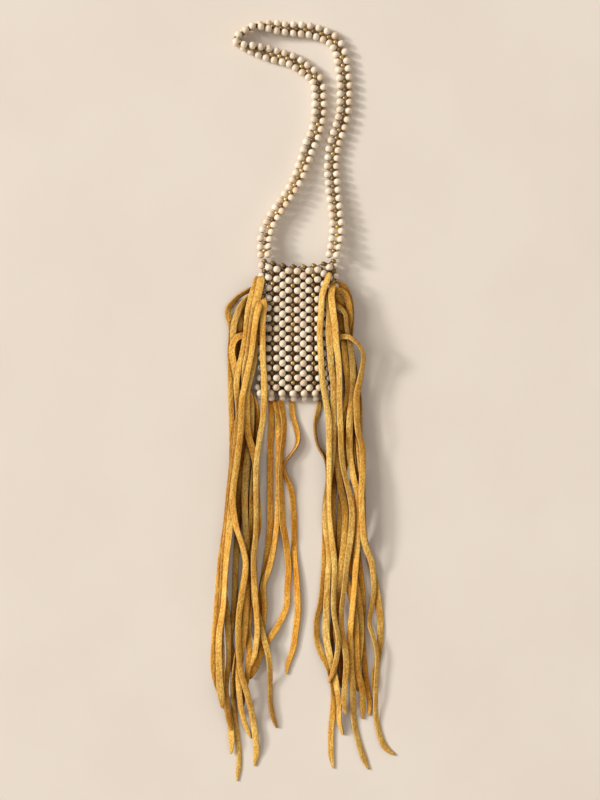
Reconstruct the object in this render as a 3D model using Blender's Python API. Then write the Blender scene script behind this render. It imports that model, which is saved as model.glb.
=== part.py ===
"""Beaded medicine bag, lying flat: a pouch of right-angle beadwork, its beaded strap and its suede laces.

The pouch is a flat tube of beads. Upright beads stand in columns and cross beads lie between them,
half a row higher, so each cross bead touches four upright beads. Ten of the sixteen columns of cross
beads are brass, the other six are cream like the upright beads. The strap is one unit of the same
beadwork, and the laces are narrow strips of suede threaded through the pouch's sides.
"""

import math

import bpy
import numpy as np
from mathutils import Vector
from mathutils.geometry import delaunay_2d_cdt

# Beads, all sizes in metres
CREAM_BEAD = 0.0065
BRASS_BEAD = 0.0040
CREAM_THREAD_GAP = 0.0036    # a unit is its cross bead and the room that the upright beads take
BRASS_THREAD_GAP = 0.0035
ROW_GAP = 0.00185            # from the top of one upright bead to the foot of the next
NECK = 0.0011                # thickness of the thread where two beads meet
WALL = 0.0013                # from the thread line to the inner face of the beadwork
CLEARANCE = 0.0003
EDGE_SHARE = 0.97            # a strip's border keeps this share of the radius from a bead's middle
SLANT_SHARE = 0.70           # the same, across and along, halfway round
SHOULDER_SHARE = (0.73, 0.69)
CAP_SHARE = 0.45             # half the flat cap on a bead's top, as a share of its radius
SIDE_HOLLOW = 0.30           # depths between a ribbon's beads, as shares of their radius
MIDDLE_HOLLOW = 0.32
TOUCH_HOLLOW = 0.10
SIDE_COLUMN = 0.04           # where those depths are taken, in columns from an upright bead's middle
TOUCH_COLUMN = 0.26

# Pouch
ROWS = 13
FRONT_UNITS = "bbcbcbcb"     # cross beads from left to right, b for brass and c for cream
BACK_UNITS = "bbcbcbcb"      # the same, from right to left
POUCH_DEPTH = 0.0120         # front layer to back layer, from thread line to thread line
MOUTH_DEPTH = 0.0105
BOTTOM_BRASS_UNIT = 0.0092   # the cream beads of the bottom row spread the brass units
BOTTOM_FLARE_ROWS = 1.3
CLOSING_ROWS = 1.9           # rows over which the front layer comes down to the back layer
BOTTOM_ROW_DROP = 0.0050     # from the lowest upright beads to the bottom row
BACK_DROP = 0.0040           # the back layer's bottom row lies this much further down
RIM_RISE = 0.0041            # from the highest upright beads to the rim beads
MOUTH_SAG = 0.0055           # the middle of the mouth hangs this much below its corners
CLOSING_POWER = 1.6          # how suddenly the layers part above the bottom row
MOUTH_POWER = 3.0            # how far down from the mouth its own depth is felt
SAG_POWER = 2.2              # how flat the sagging mouth lies in its middle
DROP_POWER = 1.3             # how fast the back layer's drop fades towards the mouth
FRONT_SQUARENESS = 2.3       # 2 is an ellipse, more is squarer
BACK_SQUARENESS = 4.5
UNDER_SHARE = 0.42           # where a shallow tube is widest, as a share of its depth
FOLD_COLUMNS = 0.8           # columns over which a side turns from the front layer to the back one
ROW_PARTS = 20               # cross sections worked out for each row

# Strap, a ladder of two rails of cream beads with brass beads for rungs
STRAP_REACH = 0.2040         # from the mouth's corners to the strap's far bend
STRAP_PAIR_PITCH = 0.0071
STRAP_RAIL_SPACING = 0.0080
STRAP_LEAD = 0.0054          # from a rim bead's middle to the strap's first pair of beads
STRAP_FALL = 0.024           # the strap comes down from the mouth's corners over about this length
STRAP_CAP_PLACE = 0.85       # the blunt ends of the strap, as shares of a bead's radius
STRAP_CAP_SIZE = 0.50

# Laces
LACE_WIDTH = 0.0050
LACE_THICKNESS = 0.0013
LACE_TIP_WIDTH = 0.0012
LACE_STATIONS = 12
LACE_MARGIN = 0.0004         # room left beside a lace where it passes another
LACE_SIDE = 0.0350           # a lace that starts this far out leaves the pouch's side
SIDE_LACE_HEIGHT = 0.0065    # where the laces of the pouch's sides leave it
CELL = 0.0005                # of the map of heights that the laces are laid on
SOLID_SAMPLES = 13           # the map's points along a triangle's side, a lace's stretch and its width
STRETCH_SAMPLES = 61
WIDTH_SAMPLES = 15
LAYING_ROUNDS = 400

# Strap: how its middle line runs from the left corner of the mouth to the right one, in millimetres.
# x is from the middle of the mouth, y from its corners, and the third number is the strap's roll in degrees.
# The route is drawn for this mouth, measured between the middles of its two end units, and follows its size.
ROUTE_MOUTH = 0.05934
STRAP_ROUTE = [
    (-29, 20, 8), (-24, 34, 0), (-16, 47, 0), (-9, 57, 0), (-1, 71, 0), (4, 84, 0), (9, 99, 0), (15, 113, 0),
    (18, 129, 0), (18, 142, 0), (17, 154, 0), (13, 161, 0), (4, 168, 0), (-7, 175, 0), (-21, 179, 10),
    (-36, 183, 45), (-50, 187, 85), (-55, 192, 90), (-49, 197, 90), (-40, 203, 85), (-29, 204, 50),
    (-11, 202, 10), (6, 201, 0), (21, 197, 0), (31, 191, 0), (36, 181, 0), (38, 171, 0), (40, 156, 0),
    (40, 142, 0), (39, 128, 0), (35, 114, 0), (31, 101, 0), (29, 88, 0), (29, 74, 0), (31, 55, 0),
    (33, 36, 0), (33, 22, 8),
]

# Laces, each with its route from the beadwork to its tip in millimetres, in the pouch's frame.
# They lie on each other in this order, the lowest first. One that starts beyond the last column
# leaves the pouch's side, and the rest come over its front or from its bottom row.
LACE_ROUTES = {
    "left_1": [(-36, 72), (-45, 69), (-50, 67), (-53, 63), (-53, 53), (-54, 43), (-52, 28), (-50, 14),
        (-48, 1), (-49, -14), (-48, -39), (-50, -62), (-52, -86), (-53, -119), (-55, -149), (-56, -180),
        (-58, -200), (-60, -214), (-57, -233), (-57, -260), (-55, -286), (-52, -313), (-53, -338)],
    "left_2": [(-36, 93), (-41, 90), (-51, 85), (-59, 77), (-62, 71), (-60, 63), (-58, 56), (-59, 38),
        (-59, 19), (-59, -5), (-58, -32), (-58, -58), (-61, -86), (-64, -119), (-68, -149), (-71, -185),
        (-73, -214), (-74, -238), (-71, -253), (-63, -272), (-59, -289), (-58, -314)],
    "left_3": [(-36, 79), (-44, 76), (-48, 72), (-50, 64), (-51, 53), (-49, 43), (-47, 33), (-48, 19),
        (-46, 5), (-40, -14), (-38, -32), (-39, -58), (-41, -86), (-43, -107), (-43, -126), (-45, -149),
        (-47, -185), (-50, -209), (-54, -230), (-57, -249), (-58, -266)],
    "left_4": [(-36, 86), (-43, 83), (-49, 77), (-53, 69), (-56, 60), (-57, 48), (-57, 33), (-55, 19),
        (-52, 5), (-50, -6), (-55, -32), (-57, -58), (-59, -86), (-61, -119), (-65, -146), (-66, -166),
        (-63, -188), (-61, -213), (-61, -236), (-63, -254), (-62, -273), (-60, -293)],
    "left_5": [(-36, 50), (-47, 50), (-53, 49), (-57, 43), (-58, 35), (-56, 25), (-54, 14), (-52, 2),
        (-52, -12), (-54, -35), (-56, -58), (-59, -86), (-61, -110), (-63, -126), (-65, -149), (-67, -188),
        (-67, -210), (-66, -233), (-66, -249), (-67, -265)],
    "left_6": [(-36, 46), (-40, 41), (-43, 32), (-46, 21), (-44, 5), (-37, -11), (-35, -36), (-38, -62),
        (-40, -86), (-41, -119), (-41, -139), (-42, -180), (-44, -204), (-43, -225), (-45, -246),
        (-49, -265), (-50, -281)],
    "left_7": [(-34, 78), (-36, 72), (-39, 63), (-41, 48), (-43, 33), (-46, 19), (-48, 5), (-49, -6),
        (-50, -32), (-53, -58), (-57, -91), (-54, -115), (-49, -131), (-46, -149), (-49, -172),
        (-52, -196), (-52, -220), (-50, -240), (-46, -254), (-42, -270), (-39, -289), (-37, -306),
        (-37, -325)],
    "left_8": [(-34, 102), (-37, 91), (-41, 77), (-44, 63), (-45, 51), (-49, 35), (-52, 21), (-54, 8),
        (-53, -5), (-51, -32), (-54, -58), (-57, -86), (-60, -119), (-63, -149), (-65, -182), (-69, -210),
        (-69, -233), (-68, -254), (-65, -273)],
    "left_9": [(-32, 66), (-34, 61), (-37, 52), (-39, 43), (-40, 28), (-42, 14), (-45, 2), (-45, -14),
        (-44, -35), (-38, -58), (-36, -86), (-35, -115), (-39, -134), (-39, -149), (-38, -180),
        (-35, -194), (-30, -213), (-26, -229), (-25, -246), (-25, -266), (-23, -280), (-20, -292)],
    "left_10": [(-31, 83), (-30, 76), (-31, 63), (-31, 48), (-31, 33), (-30, 14), (-30, -5), (-31, -23),
        (-34, -40), (-37, -66), (-37, -92), (-37, -119), (-39, -149), (-37, -185), (-36, -206),
        (-38, -224), (-41, -237)],
    "left_11": [(-33, 102), (-35, 90), (-37, 77), (-40, 67), (-42, 53), (-45, 37), (-48, 21), (-46, 6),
        (-42, -6), (-42, -32), (-45, -58), (-47, -86), (-46, -119), (-43, -149), (-45, -180), (-47, -206),
        (-50, -224), (-52, -246), (-50, -273), (-46, -289), (-42, -301)],
    "middle_1": [(-24, -8), (-24, -18), (-24, -32), (-25, -45), (-25, -58), (-25, -72), (-25, -86),
        (-25, -100), (-25, -115), (-27, -134), (-29, -149), (-33, -171), (-34, -188), (-34, -204),
        (-36, -224), (-39, -238)],
    "middle_2": [(-20, -8), (-18, -20), (-18, -32), (-17, -45), (-18, -58), (-18, -72), (-18, -86),
        (-19, -112), (-22, -134), (-26, -152), (-31, -166), (-30, -182), (-31, -200), (-33, -217),
        (-36, -233), (-41, -249)],
    "middle_3": [(-6, -8), (-5, -20), (-1, -35), (-1, -44), (-6, -52), (-12, -60), (-12, -70), (-7, -82),
        (-5, -96), (-4, -119), (-4, -139), (-2, -159), (-1, -178), (-1, -192), (-3, -209), (-5, -222),
        (-10, -236), (-12, -245)],
    "middle_4": [(-16, -8), (-13, -23), (-13, -36), (-15, -51), (-16, -72), (-15, -92), (-14, -112),
        (-11, -130), (-9, -152), (-10, -172), (-10, -182), (-13, -192), (-20, -205), (-29, -218),
        (-36, -232), (-42, -249)],
    "right_1": [(36, 95), (39, 93), (42, 89), (45, 81), (46, 69), (45, 55), (43, 41), (42, 25), (42, 9),
        (46, -8), (47, -32), (50, -58), (51, -80), (49, -102), (50, -126), (53, -149), (56, -180),
        (55, -200), (56, -220), (58, -246), (61, -265), (63, -281)],
    "right_2": [(36, 84), (38, 76), (40, 63), (41, 48), (42, 33), (44, 19), (45, 4), (48, -14), (46, -36),
        (47, -58), (50, -78), (50, -99), (47, -120), (46, -146), (52, -180), (54, -206), (52, -228),
        (50, -244), (50, -260)],
    "right_3": [(36, 89), (38, 88), (41, 84), (43, 77), (44, 65), (42, 53), (45, 37), (48, 21), (50, 5),
        (52, -11), (52, -39), (54, -66), (55, -92), (56, -119), (60, -139), (66, -163), (70, -188),
        (71, -204), (70, -222), (66, -244), (65, -260)],
    "right_4": [(36, 69), (38, 61), (39, 48), (40, 33), (42, 16), (42, -1), (40, -14), (40, -39),
        (40, -62), (37, -86), (36, -112), (36, -134), (40, -156), (46, -180), (49, -197), (50, -220),
        (51, -240), (55, -257), (56, -284)],
    "right_5": [(36, 54), (39, 45), (40, 31), (42, 16), (43, 1), (40, -12), (35, -35), (34, -58),
        (36, -80), (40, -99), (40, -120), (38, -142), (35, -163), (34, -188), (32, -206), (35, -224),
        (37, -241), (36, -257)],
    "right_6": [(36, 76), (40, 69), (41, 57), (44, 43), (46, 28), (47, 12), (46, -5), (44, -26), (44, -52),
        (47, -72), (51, -88), (52, -112), (50, -139), (48, -166), (46, -188), (44, -213), (45, -236),
        (47, -260), (48, -285), (51, -300), (55, -313), (60, -328)],
    "right_7": [(36, 48), (42, 49), (47, 46), (53, 40), (56, 32), (55, 23), (53, 12), (50, -1), (50, -14),
        (51, -31), (55, -48), (55, -68), (54, -88), (55, -112), (57, -130), (63, -146), (65, -163),
        (64, -182), (61, -198), (65, -212), (68, -228), (67, -254), (67, -278), (70, -296), (75, -308),
        (83, -316)],
    "right_8": [(28, 93), (26, 81), (27, 68), (26, 53), (27, 38), (28, 23), (30, 9), (30, -5), (30, -32),
        (28, -58), (25, -86), (23, -112), (26, -139), (25, -166), (24, -188), (24, -212), (28, -232),
        (32, -249), (35, -268), (35, -284), (38, -298)],
    "right_9": [(26, -8), (27, -20), (30, -33), (32, -48), (32, -62), (31, -74), (30, -86), (30, -98),
        (30, -110), (32, -122), (33, -134), (35, -152), (33, -168), (32, -184), (29, -204), (28, -222),
        (29, -236), (31, -246)],
    "right_10": [(18, -8), (16, -18), (14, -28), (15, -40), (18, -49), (23, -56), (26, -72), (23, -99),
        (23, -126), (22, -152), (19, -181), (16, -193), (15, -206), (17, -220), (21, -229), (26, -238),
        (30, -254), (30, -273), (28, -293), (28, -313), (29, -327)],
    "right_11": [(30, 96), (28, 86), (29, 73), (31, 58), (32, 43), (34, 28), (35, 9), (35, -5), (36, -32),
        (37, -55), (40, -72), (44, -88), (46, -103), (45, -123), (42, -144), (39, -170), (37, -188),
        (37, -204), (39, -217), (41, -230), (40, -249), (39, -266), (40, -279)],
    "right_12": [(27, 105), (24, 96), (20, 85), (19, 69), (18, 53), (19, 33), (20, 14), (23, -5), (26, -23),
        (26, -46), (26, -72), (26, -99), (28, -123), (31, -149), (30, -180), (31, -194), (34, -212),
        (33, -226), (30, -240), (25, -251)],
}

CREAM_RADIUS = CREAM_BEAD / 2
BRASS_RADIUS = BRASS_BEAD / 2
ROW_PITCH = CREAM_BEAD + ROW_GAP
CREAM_UNIT = CREAM_BEAD + CREAM_THREAD_GAP
BRASS_UNIT = BRASS_BEAD + BRASS_THREAD_GAP
UNITS = FRONT_UNITS + BACK_UNITS
TOP_ROW = ROWS - 1
RIM_ROW = TOP_ROW + RIM_RISE / ROW_PITCH
BOTTOM_ROW = -BOTTOM_ROW_DROP / ROW_PITCH


def material(name, colour, roughness, metallic=0.0):
    """A plain surface for a piece."""
    made = bpy.data.materials.new(name)
    made.use_nodes = True
    shader = made.node_tree.nodes["Principled BSDF"]
    shader.inputs["Base Color"].default_value = (*colour, 1.0)
    shader.inputs["Roughness"].default_value = roughness
    shader.inputs["Metallic"].default_value = metallic
    made.diffuse_color = (*colour, 1.0)
    return made


def unit_widths(row):
    """The sixteen unit widths at a row: the cream bottom row spreads the brass units near it."""
    flare = math.exp(-max(row - BOTTOM_ROW, 0.0) / BOTTOM_FLARE_ROWS)
    brass = BRASS_UNIT + (BOTTOM_BRASS_UNIT - BRASS_UNIT) * flare
    return np.array([brass if kind == "b" else CREAM_UNIT for kind in UNITS])


def depth(row):
    """Front layer to back layer at a row: closed at the bottom, full by the third row."""
    opened = 1.0 - math.exp(-((max(row - BOTTOM_ROW, 0.0) / CLOSING_ROWS) ** CLOSING_POWER))
    full = POUCH_DEPTH + (MOUTH_DEPTH - POUCH_DEPTH) * max(row / TOP_ROW, 0.0) ** MOUTH_POWER
    return CREAM_BEAD + (full - CREAM_BEAD) * opened


def outline(half_width, deep):
    """The tube's cross section as a closed line from the middle of its top, flatter underneath."""
    turn = np.linspace(0.0, 2.0 * math.pi, 721)
    side = np.sin(turn)
    lift = np.cos(turn)
    under = min(CREAM_RADIUS, UNDER_SHARE * deep)
    power = 2 / np.where(lift >= 0.0, FRONT_SQUARENESS, BACK_SQUARENESS)
    x = half_width * np.sign(side) * np.abs(side) ** power
    height = np.where(lift >= 0.0, deep - under, under)
    z = CREAM_RADIUS + under + height * np.sign(lift) * np.abs(lift) ** power
    along = np.concatenate([[0.0], np.cumsum(np.hypot(np.diff(x), np.diff(z)))])
    return along, x, z


SECTIONS = {}


def section(row):
    """The cross section at a row, as wide as it takes for the sixteen units to go round it."""
    key = round(row * ROW_PARTS)
    if key not in SECTIONS:
        row = key / ROW_PARTS
        girth = unit_widths(row).sum()
        low, high = 0.1 * girth, 0.5 * girth
        for _ in range(30):
            half_width = (low + high) / 2
            along, x, z = outline(half_width, depth(row))
            low, high = (low, half_width) if along[-1] > girth else (half_width, high)
        SECTIONS[key] = along * girth / along[-1], x, z, half_width
    return SECTIONS[key]


def column_place(column, row):
    """Distance round the tube from the middle of its front to a column, counted clockwise."""
    widths = unit_widths(row)
    edges = np.concatenate([[0.0], np.cumsum(widths)])
    turns, part = divmod(column, len(widths))
    front = edges[len(FRONT_UNITS)]
    return np.interp(part, np.arange(len(edges)), edges) + turns * edges[-1] - front / 2


def surface(column, row, out=0.0):
    """A point of the beadwork: column and row on the thread's surface, then outwards by a distance."""
    along, x, z, half_width = section(row)
    place = column_place(column, row)
    reach = 0.0012

    def at(distance):
        wrapped = distance % along[-1]
        return np.array([np.interp(wrapped, along, x), np.interp(wrapped, along, z)])

    point = at(place)
    tangent = at(place + reach) - at(place - reach)
    tangent /= np.linalg.norm(tangent)
    normal = np.array([-tangent[1], tangent[0]])
    sag = MOUTH_SAG * (abs(point[0]) / half_width) ** SAG_POWER * max(row / TOP_ROW, 0.0) ** 2
    backness = min(max((column - len(FRONT_UNITS)) / FOLD_COLUMNS, 0.0), 1.0)
    backness *= min(max((len(UNITS) - column) / FOLD_COLUMNS, 0.0), 1.0)
    dropped = BACK_DROP * backness * (1.0 - min(max(row / TOP_ROW, 0.0), 1.0)) ** DROP_POWER
    y = BOTTOM_ROW_DROP + row * ROW_PITCH + sag - dropped
    point = point + normal * out
    return Vector((point[0], y, point[1]))


def offset(column, row, across, up):
    """Column and row of a point that lies beside and above another, by distances."""
    unit = math.ceil(column) - 1 if across < 0.0 else math.floor(column)
    width = unit_widths(row)[unit % len(UNITS)]
    return column + across / width, row + up / ROW_PITCH


def filled(points, border):
    """Triangles between flat points inside a border, which is the first points in order."""
    loop = list(range(border))
    flat = [Vector(point) for point in points]
    result = delaunay_2d_cdt(flat, [], [loop], 1, 1e-9)
    if len(result[0]) != len(points):
        raise ValueError("two points of a strip of beadwork fall together")
    return [tuple(face) for face in result[2]]


def strip(name, border, inner, finish, parent):
    """A strip of beadwork as one solid: domes outside, and inside one face at the wall's depth.

    Each point is a column, a row and a distance outwards from the thread's surface.
    """
    points = border + inner
    scale = CREAM_UNIT
    flat = [(column * scale, row * ROW_PITCH) for column, row, _ in points]
    outer_faces = filled(flat, len(border))
    inner_faces = filled(flat[: len(border)], len(border))
    verts = [surface(*point) for point in points]
    faces = outer_faces + [face[::-1] for face in inner_faces]
    mesh = bpy.data.meshes.new(name)
    mesh.from_pydata(verts, [], faces)
    mesh.validate()
    mesh.materials.append(finish)
    made = bpy.data.objects.new(name, mesh)
    bpy.context.collection.objects.link(made)
    made.parent = parent
    return made


def placed(column, row, offsets):
    """Border or dome points given as distances across, up and out from a bead."""
    return [(*offset(column, row, across, up), out) for across, up, out in offsets]


def dome(column, row, radius, fine=True):
    """The top of a round bead: a small flat cap, or one point where the work is coarse."""
    if not fine:
        return [(column, row, radius)]
    cap = CAP_SHARE * radius
    return placed(column, row, [(cap, 0, radius), (0, cap, radius), (-cap, 0, radius), (0, -cap, radius)])


def bead_edge(column, rows, radius, side, fine, neck):
    """One edge of a column of beads, from its lowest bead to its highest, left (-1) or right (1)."""
    edge = []
    across, up = (share * radius for share in SHOULDER_SHARE)
    for index, row in enumerate(rows):
        shoulder = [(side * across, up, -WALL)] if fine else []
        foot = [(side * across, -up, -WALL)] if fine else []
        edge += placed(column, row, foot + [(side * EDGE_SHARE * radius, 0.0, -WALL)] + shoulder)
        if index < len(rows) - 1:
            middle = (row + rows[index + 1]) / 2
            edge += placed(column, middle, [(side * neck / 2, 0.0, -WALL)])
    return edge


def bead_column(name, column, rows, radius, finish, parent, fine):
    """One column of beads on its thread."""
    foot = placed(column, rows[0], [(0.0, -EDGE_SHARE * radius, -WALL)])
    head = placed(column, rows[-1], [(0.0, EDGE_SHARE * radius, -WALL)])
    neck = NECK if radius > BRASS_RADIUS else 0.6 * NECK
    right = bead_edge(column, rows, radius, 1, fine, neck)
    left = bead_edge(column, rows, radius, -1, fine, neck)
    inner = []
    for row, above in zip(rows, rows[1:] + [None]):
        inner += dome(column, row, radius, radius > BRASS_RADIUS)
        if above is not None:
            inner += [(column, (row + above) / 2, 0.0)]
    return strip(name, foot + right + head + left[::-1], inner, finish, parent)


def bead_ribbon(name, column, finish, parent, fine):
    """Two columns of upright cream beads and the cream cross beads between them, with their rim bead."""
    rows = list(range(ROWS))
    radius = CREAM_RADIUS
    reach = EDGE_SHARE * radius
    slant = SLANT_SHARE * radius
    middle = column + 0.5
    left = bead_edge(column, rows, radius, -1, fine, NECK)
    right = bead_edge(column + 1, rows, radius, 1, fine, NECK)
    foot = placed(column, 0, [(0.0, -reach, -WALL), (slant, -slant, -WALL), (reach, 0.0, -WALL)])
    foot += placed(middle, 0.5, [(0.0, -reach, -WALL)])
    foot += placed(column + 1, 0, [(-reach, 0.0, -WALL), (-slant, -slant, -WALL), (0.0, -reach, -WALL)])
    head = placed(column + 1, TOP_ROW, [(0.0, reach, -WALL), (-slant, slant, -WALL)])
    brass = EDGE_SHARE * BRASS_RADIUS
    head += placed(middle, RIM_ROW, [(brass, 0.0, -WALL), (0.0, brass, -WALL), (-brass, 0.0, -WALL)])
    head += placed(column, TOP_ROW, [(slant, slant, -WALL), (0.0, reach, -WALL)])
    inner = dome(middle, RIM_ROW, BRASS_RADIUS, False)
    for row in rows:
        inner += dome(column, row, radius) + dome(column + 1, row, radius)
    for row in rows[:-1]:
        inner += dome(middle, row + 0.5, radius)
        inner += [(middle, row + 1, -MIDDLE_HOLLOW * radius)]
        for share in (SIDE_COLUMN, 1 - SIDE_COLUMN):
            inner += [(column + share, row + 0.5, -SIDE_HOLLOW * radius)]
        for share in (TOUCH_COLUMN, 1 - TOUCH_COLUMN):
            for height in (0.25, 0.75):
                inner += [(column + share, row + height, -TOUCH_HOLLOW * radius)]
    return strip(name, foot + right + head + left[::-1], inner, finish, parent)


def cross_row(name, columns, row, finish, parent):
    """A row of cream cross beads side by side, joined by their thread under the upright beads."""
    radius = CREAM_RADIUS
    reach = EDGE_SHARE * radius
    slant = SLANT_SHARE * radius
    lower = []
    upper = []
    inner = []
    for index, column in enumerate(columns):
        lower += placed(column, row, [(-slant, -slant, -WALL), (0.0, -reach, -WALL), (slant, -slant, -WALL)])
        upper += placed(column, row, [(-slant, slant, -WALL), (0.0, reach, -WALL), (slant, slant, -WALL)])
        inner += dome(column, row, radius)
        if index < len(columns) - 1:
            lower += placed(column + 0.5, row, [(0.0, -NECK / 2, -WALL)])
            upper += placed(column + 0.5, row, [(0.0, NECK / 2, -WALL)])
            inner += [(column + 0.5, row, 0.0)]
    start = placed(columns[0], row, [(-reach, 0.0, -WALL)])
    end = placed(columns[-1], row, [(reach, 0.0, -WALL)])
    return strip(name, start + lower + end + upper[::-1], inner, finish, parent)


def build_pouch(cream, brass, parent):
    """The tube of columns round the pouch, front first, and the two rows that close it."""
    upright_rows = list(range(ROWS))
    cross_rows = [row + 0.5 for row in range(TOP_ROW)] + [RIM_ROW]
    front_count = len(FRONT_UNITS)
    for unit, kind in enumerate(UNITS):
        side = "front" if unit < front_count else "back"
        number = unit % front_count + 1
        fine = unit < front_count
        before = UNITS[unit - 1]
        if kind == "b":
            bead_column(
                f"brass_column_{side}_{number}", unit + 0.5, cross_rows, BRASS_RADIUS, brass, parent, False
            )
            if before == "b":
                bead_column(
                    f"cream_column_{side}_{number}", unit, upright_rows, CREAM_RADIUS, cream, parent, fine
                )
        else:
            bead_ribbon(f"cream_ribbon_{side}_{number}", unit, cream, parent, fine)
    front = [unit + 0.5 for unit in range(front_count)]
    back = [unit + front_count for unit in front]
    cross_row("bottom_row_front", front, BOTTOM_ROW, cream, parent)
    cross_row("bottom_row_back", back, BOTTOM_ROW, cream, parent)


def smooth_line(points, step):
    """A smooth curve through points, about one point for each step of its length.

    Between b and c, with a before them and d after them, it is half of
    2b + (c - a) t + (2a - 5b + 4c - d) t^2 + (3b - a - 3c + d) t^3.
    """
    points = np.array(points, dtype=float)
    ends = np.vstack([2 * points[0] - points[1], points, 2 * points[-1] - points[-2]])
    pieces = []
    for before, start, end, after in zip(ends, ends[1:], ends[2:], ends[3:]):
        count = max(int(np.linalg.norm((end - start)[:2]) / step), 2)
        t = np.linspace(0.0, 1.0, count, endpoint=False)[:, None]
        bend = (end - before) * t + (2 * before - 5 * start + 4 * end - after) * t**2
        pieces.append(start + (bend + (3 * start - before - 3 * end + after) * t**3) / 2)
    return np.vstack(pieces + [points[-1:]])


def distances(line):
    """How far along a line each of its points lies."""
    return np.concatenate([[0.0], np.cumsum(np.linalg.norm(np.diff(line, axis=0), axis=1))])


def read_line(line, places):
    """The points of a line at some distances along it."""
    along = distances(line[:, :3])
    return np.column_stack([np.interp(places, along, values) for values in line.T])


def solid(name, verts, faces, finish, parent):
    """One closed piece from its points and faces."""
    mesh = bpy.data.meshes.new(name)
    mesh.from_pydata([tuple(vert) for vert in verts], [], faces)
    mesh.validate()
    mesh.materials.append(finish)
    made = bpy.data.objects.new(name, mesh)
    bpy.context.collection.objects.link(made)
    made.parent = parent
    return made


def loft(rings):
    """Faces over rings of equally many points, closed at both ends."""
    sides = len(rings[0])
    faces = [list(range(sides))]
    for ring in range(len(rings) - 1):
        low, high = ring * sides, (ring + 1) * sides
        for side in range(sides):
            after = (side + 1) % sides
            faces.append((low + side, high + side, high + after, low + after))
    last = (len(rings) - 1) * sides
    faces.append([last + side for side in range(sides)][::-1])
    return np.vstack(rings), faces


def mouth_corner(column):
    """The middle of the unit that a strap end continues, and the lean of its two rails in degrees."""
    middle = np.array(surface(column, RIM_ROW))
    step = np.array(surface(column + 0.5, RIM_ROW)) - np.array(surface(column - 0.5, RIM_ROW))
    return middle, math.degrees(math.atan2(abs(step[2]), abs(step[0])))


def strap_line():
    """The strap's middle line with its roll: x, y, z and degrees, from the left corner to the right one."""
    left, left_lean = mouth_corner(0.5)
    right, right_lean = mouth_corner(len(FRONT_UNITS) - 0.5)
    middle = (left + right) / 2
    route = [(left[0], left[1] + STRAP_LEAD, left_lean)]
    wider = (right[0] - left[0]) / ROUTE_MOUTH
    longer = STRAP_REACH / max(y for _, y, _ in STRAP_ROUTE)
    route += [(middle[0] + x / 1000 * wider, middle[1] + y * longer, roll) for x, y, roll in STRAP_ROUTE]
    route += [(right[0], right[1] + STRAP_LEAD, right_lean)]
    line = smooth_line(route, 0.001)
    along = distances(line[:, :2])
    height = CREAM_RADIUS + STRAP_RAIL_SPACING / 2 * np.abs(np.sin(np.radians(line[:, 2])))
    start = np.exp(-((along / STRAP_FALL) ** 2))
    end = np.exp(-(((along[-1] - along) / STRAP_FALL) ** 2))
    height = height + start * max(left[2] - height[0], 0.0) + end * max(right[2] - height[-1], 0.0)
    return np.column_stack([line[:, :2], height, line[:, 2]])


def strap_ring(line, place, rail, middle):
    """The strap's cross section at a place: the radius of its two rails and the one of its middle."""
    reach = 0.0015
    before, here, after = read_line(line, [place - reach, place, place + reach])
    forward = after[:3] - before[:3]
    forward /= np.linalg.norm(forward)
    level = np.cross(forward, [0.0, 0.0, 1.0])
    level /= np.linalg.norm(level)
    upward = np.cross(level, forward)
    roll = math.radians(here[3])
    across = level * math.cos(roll) + upward * math.sin(roll)
    out = upward * math.cos(roll) - level * math.sin(roll)
    half = STRAP_RAIL_SPACING / 2
    section = [
        (-half - rail, 0.0), (-half, -rail), (0.0, -middle), (half, -rail),
        (half + rail, 0.0), (half, rail), (0.0, middle), (-half, rail),
    ]
    return np.array([here[:3] + across * x + out * z for x, z in section])


def build_strap(cream, parent):
    """Pairs of cream beads along the strap, with a brass rung's swelling between each two pairs."""
    line = strap_line()
    length = distances(line[:, :3])[-1]
    pairs = round(length / STRAP_PAIR_PITCH) + 1
    pitch = length / (pairs - 1)
    cap = STRAP_CAP_PLACE * CREAM_RADIUS
    cap_radius = STRAP_CAP_SIZE * CREAM_RADIUS
    thread = NECK / 2
    rings = []
    for pair in range(pairs):
        place = pair * pitch
        if pair == 0:
            rings.append(strap_ring(line, place, cap_radius, thread) - [0.0, cap, 0.0])
        rings.append(strap_ring(line, place, CREAM_RADIUS, thread))
        if pair == pairs - 1:
            rings.append(strap_ring(line, place, cap_radius, thread) - [0.0, cap, 0.0])
        else:
            rings.append(strap_ring(line, place + pitch / 2, thread, BRASS_RADIUS))
    verts, faces = loft(rings)
    return solid("strap", verts, faces, cream, parent)


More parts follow.
